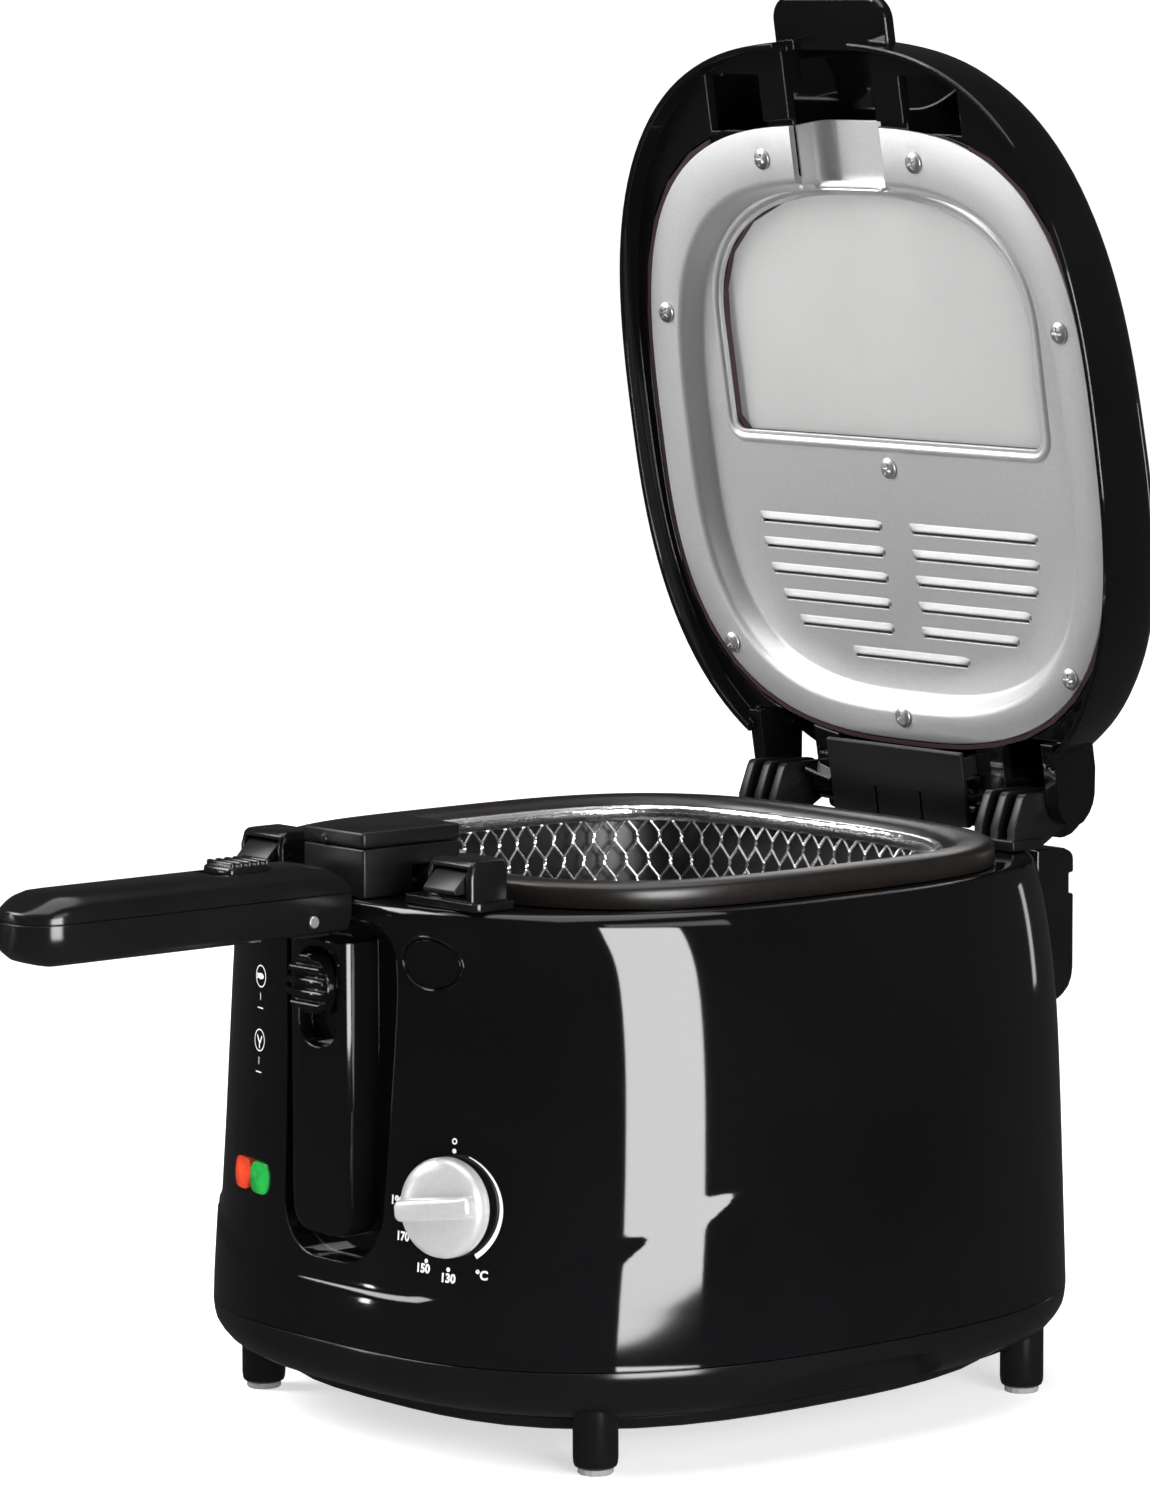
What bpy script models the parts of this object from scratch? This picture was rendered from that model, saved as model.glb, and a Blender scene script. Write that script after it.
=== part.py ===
"""Domestic deep fryer with a hinged lid, a folding basket handle and a thermostat knob.

All sizes below are in millimetres, measured from a point on the floor under the middle
of the body: X to the right, Y to the rear, Z up.  BASE_Y then moves the whole object so
that its bounding box is centred on the world origin.  The lid is described closed and
its empty is turned to the resting, open position.
"""
import math

import bmesh
import bpy
from mathutils import Vector

MM = 0.001
BASE_Y = 53.77
SEGMENTS = 48
GAP = 0.35

# Body
BODY_HALF_WIDTH = 133.0
BODY_CENTRE_Y = 2.6
BODY_REAR_Y = 159.6
SEAM_Z = 38.6
DECK_Z = 195.8
WALL = 2.2
FRONT_POWER = 2.8
REAR_POWER = 2.45
FRONT_HEIGHTS = (38.6, 60.0, 97.0, 120.0, 150.0, 175.0, 184.0, 191.0, 196.0)
FRONT_DEPTHS = (-146.0, -143.0, -140.0, -138.6, -137.2, -137.0, -138.6, -141.6, -142.0)

# Front recess, column and sliding catch
RECESS_HALF = 30.0
RECESS_FLOOR_Y = -132.0
COLUMN_HALF = 16.25
COLUMN_FRONT_Y = -146.6
COLUMN_LOW_Z = 76.0
COLUMN_HIGH_Z = 181.0
SLIDER_HALF = 10.2
SLIDER_FRONT_Y = -152.7
SLIDER_LOW_Z = 155.0
SLIDER_HIGH_Z = 178.0
SLIDER_TRAVEL = 5.0

# Thermostat knob
KNOB_X = 59.2
KNOB_Z = 93.0
KNOB_RADIUS = 17.5
KNOB_DISC = 8.0
KNOB_BAR = 14.0
KNOB_REST_DEG = 262.0

# Release button
BUTTON_X = 47.4
BUTTON_Z = 176.3
BUTTON_HALF_X = 12.2
BUTTON_HALF_Z = 8.4

# Pot
POT_HALF_WIDTH = 115.0
POT_FRONT = 111.0
POT_REAR = 114.0
POT_Y = -2.0
POT_POWER = 3.4

# Basket
BASKET_Y = 0.5
BASKET_TOP_HALF = 98.0
BASKET_DEPTH = 91.5
BASKET_REAR = 94.0
BASKET_TOP_Z = 198.6
BASKET_LOW_Z = 113.6

# Folding handle
PIVOT_Y = -160.7
PIVOT_Z = 190.0
HANDLE_HALF = 16.5
HANDLE_TIP_Y = -278.0
HANDLE_LOW_Z = 184.0
HANDLE_SEAM_Z = 199.0
HANDLE_TOP_Z = 209.0

# Lid, described closed
HINGE_Y = 140.0
HINGE_Z = 209.3
LID_OPEN_DEG = 80.7
LID_HALF_WIDTH = 128.0
LID_FRONT = 147.0
LID_REAR = 140.0
LID_RIM_Z = 200.1
FLANGE_Z = 207.3
PANEL_HALF_WIDTH = 119.0
PANEL_FRONT = 124.5
PANEL_REAR = 109.0
PANEL_Y = 10.0
PAN_DEPTH = 7.5
SHEET = 1.2


# ---------------------------------------------------------------- scene helpers

def clear_scene():
    for item in list(bpy.data.objects):
        bpy.data.objects.remove(item, do_unlink=True)


def new_collection(name):
    group = bpy.data.collections.new(name)
    bpy.context.scene.collection.children.link(group)
    return group


def new_material(name, colour, metallic, roughness):
    mat = bpy.data.materials.new(name)
    mat.use_nodes = True
    shader = mat.node_tree.nodes["Principled BSDF"]
    shader.inputs["Base Color"].default_value = (*colour, 1.0)
    shader.inputs["Metallic"].default_value = metallic
    shader.inputs["Roughness"].default_value = roughness
    return mat


def new_empty(name, place, parent=None, turn=(0.0, 0.0, 0.0), origin=(0.0, 0.0, 0.0)):
    empty = bpy.data.objects.new(name, None)
    PARTS.objects.link(empty)
    empty.parent = parent
    empty.location = (Vector(place) - Vector(origin)) * MM
    empty.rotation_euler = turn
    return empty


def finish_mesh(name, bm, origin):
    bmesh.ops.recalc_face_normals(bm, faces=bm.faces)
    bmesh.ops.translate(bm, verts=bm.verts, vec=-Vector(origin))
    bmesh.ops.scale(bm, verts=bm.verts, vec=(MM, MM, MM))
    mesh = bpy.data.meshes.new(name)
    bm.to_mesh(mesh)
    bm.free()
    return mesh


def new_part(name, bm, mat, frame, angle=35.0):
    """Make one named piece from a mesh drawn in body coordinates."""
    parent, origin = frame
    mesh = finish_mesh(name, bm, origin)
    mesh.materials.append(MATERIALS[mat])
    piece = bpy.data.objects.new(name, mesh)
    PARTS.objects.link(piece)
    piece.parent = parent
    mesh.shade_smooth()
    mesh.set_sharp_from_angle(angle=math.radians(angle))
    return piece


def new_cutter(name, bm, frame):
    parent, origin = frame
    tool = bpy.data.objects.new(name, finish_mesh(name, bm, origin))
    CUTTERS.objects.link(tool)
    tool.parent = parent
    tool.hide_render = True
    tool.display_type = "WIRE"
    return tool


def combine(piece, operation, name, bm, frame):
    """Cut, join or trim a piece with a hidden tool body."""
    tool = new_cutter(name, bm, frame)
    combine_with(piece, operation, tool)
    return tool


def combine_with(piece, operation, tool):
    step = piece.modifiers.new(tool.name, "BOOLEAN")
    step.operation = operation
    step.solver = "EXACT"
    step.object = tool


# ---------------------------------------------------------------- shape helpers

def join(*meshes):
    """Put several separate closed shells into one mesh for use as a tool."""
    whole = bmesh.new()
    for bm in meshes:
        spare = bpy.data.meshes.new("spare")
        bm.to_mesh(spare)
        bm.free()
        whole.from_mesh(spare)
        bpy.data.meshes.remove(spare)
    return whole


def box(x0, x1, y0, y1, z0, z1, bevel=0.0, steps=2):
    bm = bmesh.new()
    bmesh.ops.create_cube(bm, size=1.0)
    bmesh.ops.scale(bm, verts=bm.verts, vec=(x1 - x0, y1 - y0, z1 - z0))
    bmesh.ops.translate(bm, verts=bm.verts,
                        vec=((x0 + x1) / 2, (y0 + y1) / 2, (z0 + z1) / 2))
    if bevel > 0.0:
        bmesh.ops.bevel(bm, geom=bm.edges[:], offset=bevel, segments=steps,
                        profile=0.5, affect="EDGES", clamp_overlap=True)
    return bm


def prism(outline, axis, low, high):
    """Extrude a closed outline of 2-D points along X, Y or Z."""
    bm = bmesh.new()
    place = {
        "X": lambda p, h: (h, p[0], p[1]),
        "Y": lambda p, h: (p[0], h, p[1]),
        "Z": lambda p, h: (p[0], p[1], h),
    }[axis]
    lower = [bm.verts.new(place(p, low)) for p in outline]
    upper = [bm.verts.new(place(p, high)) for p in outline]
    bm.faces.new(lower)
    bm.faces.new(upper)
    count = len(outline)
    for i in range(count):
        j = (i + 1) % count
        bm.faces.new((lower[i], lower[j], upper[j], upper[i]))
    return bm


def loft(rings, closed=False):
    """Skin matching rings of 3-D points; closed joins the last ring to the first."""
    bm = bmesh.new()
    rows = [[bm.verts.new(p) for p in ring] for ring in rings]
    count = len(rings[0])
    spans = len(rows) if closed else len(rows) - 1
    for k in range(spans):
        low = rows[k]
        high = rows[(k + 1) % len(rows)]
        for i in range(count):
            j = (i + 1) % count
            bm.faces.new((low[i], low[j], high[j], high[i]))
    if not closed:
        bm.faces.new(rows[0])
        bm.faces.new(rows[-1])
    return bm


def circle(cx, cy, radius, count=20, start=0.0):
    step = 2.0 * math.pi / count
    return [(cx + radius * math.cos(start + step * i), cy + radius * math.sin(start + step * i))
            for i in range(count)]


def ellipse(cx, cy, rx, ry, count=28):
    step = 2.0 * math.pi / count
    return [(cx + rx * math.cos(step * i), cy + ry * math.sin(step * i)) for i in range(count)]


def rounded_rect(x0, x1, y0, y1, radius, steps=4):
    points = []
    corners = ((x1 - radius, y1 - radius, 0.0), (x0 + radius, y1 - radius, 90.0),
               (x0 + radius, y0 + radius, 180.0), (x1 - radius, y0 + radius, 270.0))
    for cx, cy, first in corners:
        for i in range(steps + 1):
            turn = math.radians(first + 90.0 * i / steps)
            points.append((cx + radius * math.cos(turn), cy + radius * math.sin(turn)))
    return points


def oval(half, front, rear, front_power, rear_power, centre_y, z, count=SEGMENTS):
    """Superellipse ring with different front and rear halves."""
    ring = []
    for i in range(count):
        turn = 2.0 * math.pi * i / count
        c = math.cos(turn)
        s = math.sin(turn)
        power = rear_power if s >= 0.0 else front_power
        reach = (abs(c) ** power + abs(s) ** power) ** (-1.0 / power)
        depth = rear if s >= 0.0 else front
        ring.append((half * c * reach, centre_y + depth * s * reach, z))
    return ring


def lathe(profile, count=24):
    """Solid of revolution about Z from (radius, height) pairs, both ends capped."""
    return loft([[(x, y, z) for x, y in circle(0.0, 0.0, r, count)] for r, z in profile])


def turn_to(bm, place, direction):
    """Carry a mesh drawn about +Z at the origin to a place and direction."""
    spin = Vector((0.0, 0.0, 1.0)).rotation_difference(Vector(direction))
    bmesh.ops.rotate(bm, verts=bm.verts, cent=(0.0, 0.0, 0.0), matrix=spin.to_matrix())
    bmesh.ops.translate(bm, verts=bm.verts, vec=place)
    return bm


def interpolate(value, xs, ys):
    if value <= xs[0]:
        return ys[0]
    for i in range(1, len(xs)):
        if value <= xs[i]:
            part = (value - xs[i - 1]) / (xs[i] - xs[i - 1])
            return ys[i - 1] + part * (ys[i] - ys[i - 1])
    return ys[-1]


# ---------------------------------------------------------------- body surface

def side_inset(z):
    height = max(0.0, z - SEAM_Z)
    return 0.030 * height + 7.0 * (height / 157.0) ** 6


def body_ring(z, inset=0.0, edge=0.0):
    """Outer wall of the housing at one height; inset moves it inwards."""
    draw = side_inset(z) + edge
    front_y = interpolate(z, FRONT_HEIGHTS, FRONT_DEPTHS) + edge
    return oval(BODY_HALF_WIDTH - draw - inset, BODY_CENTRE_Y - front_y - inset,
                BODY_REAR_Y - BODY_CENTRE_Y - draw - inset, FRONT_POWER, REAR_POWER,
                BODY_CENTRE_Y, z)


def wall_y(x, z):
    half = BODY_HALF_WIDTH - side_inset(z)
    depth = BODY_CENTRE_Y - interpolate(z, FRONT_HEIGHTS, FRONT_DEPTHS)
    return BODY_CENTRE_Y - depth * (1.0 - (abs(x) / half) ** FRONT_POWER) ** (1.0 / FRONT_POWER)


def wall_point(x, z):
    """Point of the front wall and its outward direction."""
    slope_x = (wall_y(x + 4.0, z) - wall_y(x - 4.0, z)) / 8.0
    slope_z = (wall_y(x, z + 12.0) - wall_y(x, z - 12.0)) / 24.0
    return Vector((x, wall_y(x, z), z)), Vector((slope_x, -1.0, slope_z)).normalized()


BODY_RING_HEIGHTS = (38.7, 60.0, 97.0, 120.0, 150.0, 170.0, 178.0, 184.0, 190.0)


def body_fill(inset):
    """Solid inside the outer wall, used to trim things to its shape."""
    rings = [body_ring(z, inset) for z in BODY_RING_HEIGHTS]
    rings.append(body_ring(193.5, inset + 0.5))
    return loft(rings)


def recess_outline(margin=0.0):
    half = RECESS_HALF + margin
    points = []
    for cx, first in ((-half + 20.0, 180.0), (half - 20.0, 270.0)):
        for i in range(6):
            turn = math.radians(first + 18.0 * i)
            points.append((cx + 20.0 * math.cos(turn), 87.0 - margin + 20.0 * math.sin(turn)))
    points += [(half, 165.0), (half - 2.0, 184.0 + margin), (half - 6.0, 186.5 + margin),
               (-half + 6.0, 186.5 + margin), (-half + 2.0, 184.0 + margin), (-half, 165.0)]
    return points


# ---------------------------------------------------------------- body pieces

def make_housing(frame):
    rings = [body_ring(z) for z in BODY_RING_HEIGHTS]
    rings.append(body_ring(193.6, 0.4))
    rings.append(body_ring(195.2, 1.3))
    rings.append(body_ring(DECK_Z, 2.8))
    hole = [(108.0, POT_FRONT - 7.0, POT_REAR - 7.0, z) for z in (DECK_Z, 190.0)]
    hole += [(109.8, POT_FRONT - 5.2, POT_REAR - 5.2, z) for z in (190.0, 193.6)]
    for half, front, rear, z in hole:
        rings.append(oval(half, front, rear, POT_POWER, POT_POWER, POT_Y, z))
    rings.append(body_ring(193.6, 4.6))
    for z in (186.0, 172.0, 130.0, 80.0, 38.7):
        rings.append(body_ring(z, WALL))
    housing = new_part("housing", loft(rings, closed=True), "gloss_black", frame, 32.0)

    backing = new_cutter("recess_backing", prism(recess_outline(2.2), "Y", -165.0, -129.6), frame)
    combine(backing, "INTERSECT", "fill_for_recess", body_fill(1.0), frame)
    combine_with(housing, "UNION", backing)
    combine(housing, "DIFFERENCE", "recess_cut",
            prism(recess_outline(), "Y", -170.0, RECESS_FLOOR_Y), frame)
    column = box(-COLUMN_HALF, COLUMN_HALF, COLUMN_FRONT_Y, RECESS_FLOOR_Y + 1.0,
                 COLUMN_LOW_Z, COLUMN_HIGH_Z, 3.2, 2)
    combine(housing, "UNION", "column", column, frame)
    pocket = prism(rounded_rect(-10.8, 10.8, 149.0, 178.6, 2.0, 2), "Y", -160.0, -140.6)
    combine(housing, "DIFFERENCE", "slider_pocket", pocket, frame)

    spot, out = wall_point(KNOB_X, KNOB_Z)
    shaft_hole = turn_to(lathe(((4.2, -12.0), (4.2, 12.0)), 16), spot, out)
    combine(housing, "DIFFERENCE", "shaft_hole", shaft_hole, frame)
    windows = join(prism(ellipse(BUTTON_X, BUTTON_Z, BUTTON_HALF_X + 0.4, BUTTON_HALF_Z + 0.4),
                         "Y", -150.0, -124.0),
                   prism(rounded_rect(-68.4, -35.4, 83.6, 97.6, 1.5, 2), "Y", -150.0, -120.0),
                   box(46.6, 54.4, -123.2, -115.6, 185.0, 200.0),
                   box(-54.4, -46.6, -123.2, -115.6, 185.0, 200.0),
                   prism(circle(0.0, 60.0, 6.6, 16), "Y", 145.0, 170.0))
    combine(housing, "DIFFERENCE", "wall_openings", windows, frame)
    return housing


def tray_profile():
    return ((0.0, 38.3), (0.6, 32.0), (1.5, 30.2), (5.0, 25.0), (11.0, 21.0),
            (20.0, 18.2), (28.5, 17.4), (28.5, 20.0), (12.5, 23.6), (4.0, 31.8), (2.6, 38.3))


def tray_ring(inset, z):
    return oval(BODY_HALF_WIDTH - inset, 148.6 - inset, 157.0 - inset, FRONT_POWER,
                REAR_POWER, BODY_CENTRE_Y, z)


def grip_arch(side, grow, inner):
    """Hollow under the side wall that fingers reach into; its top is arched front to rear."""
    arch = ((-70.0, 8.0), (-66.0, 18.0), (-58.0, 24.4), (-46.0, 29.0), (-30.0, 31.4), (-8.0, 32.2),
            (16.0, 31.8), (28.0, 29.6), (34.0, 25.6), (37.5, 18.0), (38.5, 8.0))
    rings = []
    for x, draw in ((inner, 4.0), (inner + 3.5, 1.0), (145.0, 0.0)):
        rings.append([(side * x, y + (draw - grow if y < -16.0 else grow - draw),
                       z + (grow - 0.4 * draw if z > 10.0 else 0.0)) for y, z in arch])
    return loft(rings)


def make_base(frame):
    rings = [tray_ring(inset, z) for inset, z in tray_profile()]
    tray = new_part("base_tray", loft(rings, closed=True), "matte_black", frame, 35.0)
    scoops = [grip_arch(side, 0.0, 113.5) for side in (-1.0, 1.0)]
    backs = [grip_arch(side, 2.2, 111.3) for side in (-1.0, 1.0)]
    liner = new_cutter("scoop_liner", join(*backs), frame)
    fill = [tray_ring(inset + 0.9, z) for inset, z in tray_profile()[:7]]
    combine(liner, "INTERSECT", "fill_for_scoops", loft(fill), frame)
    combine_with(tray, "UNION", liner)
    combine(tray, "DIFFERENCE", "scoop_cut", join(*scoops), frame)
    legs = []
    for x, y in FEET:
        legs.append(loft([[(px, py, z) for px, py in circle(x, y, r, 14)]
                          for r, z in ((7.2, 2.4), (7.8, 3.4), (8.0, 30.0))]))
    combine(tray, "UNION", "legs", join(*legs), frame)
    for name, (x, y) in zip(FOOT_NAMES, FEET):
        pad = loft([[(px, py, z) for px, py in circle(x, y, r, 14)]
                    for r, z in ((5.9, 0.0), (6.3, 0.5), (6.3, 2.1))])
        new_part(name, pad, "grey_rubber", frame)
    belly = [tray_ring(inset, z) for inset, z in
             ((40.0, 11.2), (30.0, 11.6), (26.0, 13.2), (24.0, 16.9), (29.0, 17.0), (60.0, 17.0))]
    bottom = new_part("bottom_plate", loft(belly), "matte_black", frame)
    holes = [prism(circle(x, y, 9.0, 16), "Z", 5.0, 25.0) for x, y in FEET]
    combine(bottom, "DIFFERENCE", "leg_clearance", join(*holes), frame)
    return tray


FEET = ((-94.4, -99.7), (94.4, -99.7), (-94.4, 104.9), (94.4, 104.9))
FOOT_NAMES = ("foot_front_left", "foot_front_right", "foot_rear_left", "foot_rear_right")


def pot_ring(d, z, count=40):
    return oval(POT_HALF_WIDTH - d, POT_FRONT - d, POT_REAR - d, POT_POWER, POT_POWER,
                POT_Y, z, count)


def make_pot(frame):
    profile = ((30.0, 66.0), (22.0, 67.5), (18.0, 72.0), (17.0, 80.0), (13.5, 199.0),
               (11.2, 203.6), (8.0, 205.1), (4.0, 205.3), (1.3, 204.6), (0.0, 202.4),
               (0.0, 196.2), (1.8, 196.2), (1.8, 201.5), (3.4, 203.2), (9.0, 202.8),
               (11.8, 198.0), (15.2, 80.0), (16.2, 71.0), (21.0, 65.2), (30.0, 64.0))
    new_part("pot", loft([pot_ring(d, z) for d, z in profile]), "pot_coating", frame)
    tube = []
    for turn in range(28):
        angle = 2.0 * math.pi * turn / 28
        c, s = math.cos(angle), math.sin(angle)
        tube.append([(c * (75.0 + 3.5 * math.cos(t)), POT_Y + s * (75.0 + 3.5 * math.cos(t)),
                      58.0 + 3.5 * math.sin(t))
                     for t in [2.0 * math.pi * k / 5 for k in range(5)]])
    new_part("heating_element", loft(tube, closed=True), "steel", frame, 60.0)
    shield = [oval(half, half, half, 3.4, 3.4, POT_Y, z, 28) for half, z in
              ((60.0, 46.0), (104.0, 46.0), (105.0, 120.0), (104.2, 120.0), (103.2, 46.9),
               (60.0, 46.9))]
    new_part("heat_shield", loft(shield, closed=True), "steel", frame)


def make_inner_works(frame):
    spot, out = wall_point(KNOB_X, KNOB_Z)
    back = spot - out * 18.0
    thermostat = turn_to(box(-13.0, 13.0, -11.0, 11.0, -8.0, 8.0, 1.5, 1), back, out)
    new_part("thermostat", thermostat, "steel", frame)
    new_part("thermal_cutout", box(-12.0, 12.0, 108.0, 116.0, 72.0, 92.0, 1.2, 1),
             "matte_black", frame)
    new_part("lamp_holder", box(-70.0, -34.0, -127.4, -120.0, 82.0, 99.0, 1.0, 1),
             "matte_black", frame)
    new_part("terminal_block", box(-22.0, 22.0, 128.0, 142.0, 50.0, 70.0, 1.2, 1),
             "matte_black", frame)
    gland = []
    for r, y in ((9.0, 160.2), (9.0, 162.4), (6.8, 164.0), (5.6, 168.0), (3.6, 168.0),
                 (3.6, 153.0), (6.2, 153.0), (6.2, 160.2)):
        gland.append([(x, y, z) for x, z in circle(0.0, 60.0, r, 18)])
    new_part("cord_gland", loft(gland, closed=True), "matte_black", frame)


def make_lenses(frame):
    for name, low, high, mat in (("lens_red", -68.0, -52.2, "red_lens"),
                                 ("lens_green", -51.4, -35.8, "green_lens")):
        blank = prism(rounded_rect(low, high, 84.0, 97.2, 1.5, 2), "Y", -150.0, -130.5)
        lens = new_part(name, blank, mat, frame)
        combine(lens, "INTERSECT", name + "_face", body_fill(-0.3), frame)


def make_hinge_housing(frame):
    profile = [(150.6, 192.0), (161.0, 192.0), (168.0, 190.0), (169.6, 187.0), (169.6, 182.0),
               (167.4, 182.0), (167.4, 174.0), (169.6, 174.0), (169.6, 146.0), (167.6, 139.0),
               (162.0, 134.5), (150.6, 134.0)]
    piece = new_part("hinge_housing", prism(profile, "X", -54.5, 54.5), "matte_black", frame)
    fill = loft([[(x * 1.0, y, z) for x, y, z in body_ring(z0, -0.4)] for z0 in
                 (120.0, 150.0, 170.0, 178.0, 184.0, 190.0)]
                + [body_ring(200.0, -0.4)])
    combine(piece, "DIFFERENCE", "wall_clearance", fill, frame)


def make_hinge_brackets(frame):
    for name, side in (("hinge_bracket_left", -1.0), ("hinge_bracket_right", 1.0)):
        plate = box(min(side * 54.0, side * 76.6), max(side * 54.0, side * 76.6),
                    116.6, 132.0, 196.15, 200.2, 0.8, 1)
        bracket = new_part(name, plate, "matte_black", frame)
        fins = []
        for x in (56.8, 65.2, 74.1):
            side_view = [(117.6, 197.0), (117.6, 204.0), (122.4, 215.6), (124.0, 216.8),
                         (144.6, 216.8), (146.4, 214.6), (146.6, 205.0), (132.0, 197.0)]
            fins.append(prism(side_view, "X", side * x - 1.8, side * x + 1.8))
        combine(bracket, "UNION", name + "_fins", join(*fins), frame)
        combine(bracket, "DIFFERENCE", name + "_bore",
                prism(circle(HINGE_Y, HINGE_Z, 2.9, 16), "X", side * 40.0, side * 90.0), frame)
    pin = prism(circle(HINGE_Y, HINGE_Z, 2.5, 16), "X", -76.5, 76.5)
    new_part("hinge_pin", pin, "steel", frame)


def helix(x0, x1, turns, radius, wire, centre_y, centre_z, per_turn=8, sides=4):
    rings = []
    total = int(turns * per_turn)
    for i in range(total + 1):
        angle = 2.0 * math.pi * i / per_turn
        x = x0 + (x1 - x0) * i / total
        ring = []
        for k in range(sides):
            t = 2.0 * math.pi * (k + 0.5) / sides
            r = radius + wire * math.cos(t)
            ring.append((x + wire * math.sin(t), centre_y + r * math.cos(angle),
                         centre_z + r * math.sin(angle)))
        rings.append(ring)
    return loft(rings)


def helix_up(x, y, z0, z1, turns, radius, wire):
    """Small upright coil drawn with the same winding as the hinge spring."""
    bm = helix(z0, z1, turns, radius, wire, 0.0, 0.0, 6, 3)
    for vert in bm.verts:
        vert.co = Vector((x + vert.co.y, y + vert.co.z, vert.co.x))
    return bm


def make_towers(frame):
    base_view = rounded_rect(29.5, 70.0, -132.0, -113.4, 2.0, 2)
    for name, side in (("latch_tower_left", -1.0), ("latch_tower_right", 1.0)):
        plate = prism([(side * x, y) for x, y in base_view], "Z", 196.15, 199.0)
        tower = new_part(name, plate, "matte_black", frame)
        low, high = sorted((side * 41.0, side * 65.5))
        combine(tower, "UNION", name + "_hood",
                box(low, high, -130.5, -113.6, 197.0, 213.0, 1.0, 1), frame)
        inner = box(low + 1.6, high - 1.6, -129.0, -115.2, 190.0, 211.4)
        window = box(low + 2.8, high - 2.8, -140.0, -120.0, 200.4, 210.0)
        combine(tower, "DIFFERENCE", name + "_inside", inner, frame)
        combine(tower, "DIFFERENCE", name + "_window", window, frame)


def make_bracket(frame):
    bracket = new_part("bracket", box(-17.0, 17.0, -139.0, -95.6, 206.2, 213.4, 1.0, 1),
                       "matte_black", frame)
    leg = box(-17.0, 17.0, -139.0, -117.0, 196.15, 208.0, 1.0, 1)
    guide = box(-14.0, 14.0, -97.4, -95.7, 171.0, 208.0)
    combine(bracket, "UNION", "bracket_leg", leg, frame)
    combine(bracket, "UNION", "bracket_guide", guide, frame)
    arm = [(-138.0, 199.0), (-146.0, 196.5), (PIVOT_Y, 196.5)]
    arm += [(PIVOT_Y - 6.5 * math.sin(math.radians(a)),
             PIVOT_Z + 6.5 * math.cos(math.radians(a))) for a in range(20, 181, 20)]
    arm += [(-149.0, 183.5), (-144.0, 187.0), (-143.0, 196.3), (-138.0, 196.3)]
    combine(bracket, "UNION", "bracket_tongue", prism(arm, "X", -9.2, 9.2), frame)
    combine(bracket, "DIFFERENCE", "bracket_bore",
            prism(circle(PIVOT_Y, PIVOT_Z, 2.5, 14), "X", -20.0, 20.0), frame)
    combine(bracket, "DIFFERENCE", "bracket_inside",
            box(-11.8, 11.8, -136.0, -116.9, 180.0, 210.4), frame)
    cap = box(-17.0, 17.0, -139.2, -95.4, 213.75, 219.4, 1.2, 2)
    cover = new_part("bracket_cap", cap, "matte_black", frame)
    nub = prism(circle(-5.0, 215.6, 1.7, 12), "Y", -140.4, -137.0)
    combine(cover, "UNION", "cap_nub", nub, frame)
    pin = loft([[(x, y, z) for y, z in circle(PIVOT_Y, PIVOT_Z, r, 14)] for r, x in
                ((1.9, -17.0), (2.2, -16.7), (2.2, 16.7), (1.9, 17.0))])
    new_part("pivot_pin", pin, "steel", frame)


# ---------------------------------------------------------------- sliding pieces

def make_catch_slider(frame):
    body = new_part("catch_slider", box(-SLIDER_HALF, SLIDER_HALF, -150.4, -141.0,
                                        SLIDER_LOW_Z, SLIDER_HIGH_Z, 1.2, 1),
                    "matte_black", frame)
    ribs = []
    for k in range(5):
        z = SLIDER_LOW_Z + 2.2 + 4.2 * k
        ribs.append(box(-9.4, 9.4, SLIDER_FRONT_Y, -149.0, z, z + 1.9, 0.5, 1))
    combine(body, "UNION", "slider_ribs", join(*ribs), frame)
    combine(body, "DIFFERENCE", "spring_groove",
            box(-2.2, 2.2, -144.6, -140.0, 157.0, 176.0), frame)


def make_release(frame):
    outline = ellipse(BUTTON_X, BUTTON_Z, BUTTON_HALF_X, BUTTON_HALF_Z)
    button = new_part("release_button", prism(outline, "Y", -150.0, -124.0), "gloss_black", frame)
    combine(button, "INTERSECT", "button_face", body_fill(0.2), frame)
    bar = new_part("latch_bar", box(-57.0, 57.0, -122.6, -118.6, 184.0, 189.0, 0.8, 1),
                   "matte_black", frame)
    parts = []
    for side in (-1.0, 1.0):
        low, high = sorted((side * 48.0, side * 53.0))
        parts.append(box(low, high, -122.4, -119.4, 187.0, 205.0))
    combine(bar, "UNION", "latch_risers", join(*parts), frame)
    lug = box(43.0, 52.0, -123.6, -121.5, 180.0, 187.0)
    combine(bar, "UNION", "button_lug", lug, frame)
    wedge = [(-122.8, 209.4), (-128.6, 209.4), (-134.8, 203.2), (-134.8, 201.6), (-122.8, 201.6)]
    for name, side in (("latch_wedge_left", -1.0), ("latch_wedge_right", 1.0)):
        low, high = sorted((side * 44.6, side * 61.9))
        new_part(name, prism(wedge, "X", low, high), "matte_black", frame)


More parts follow.
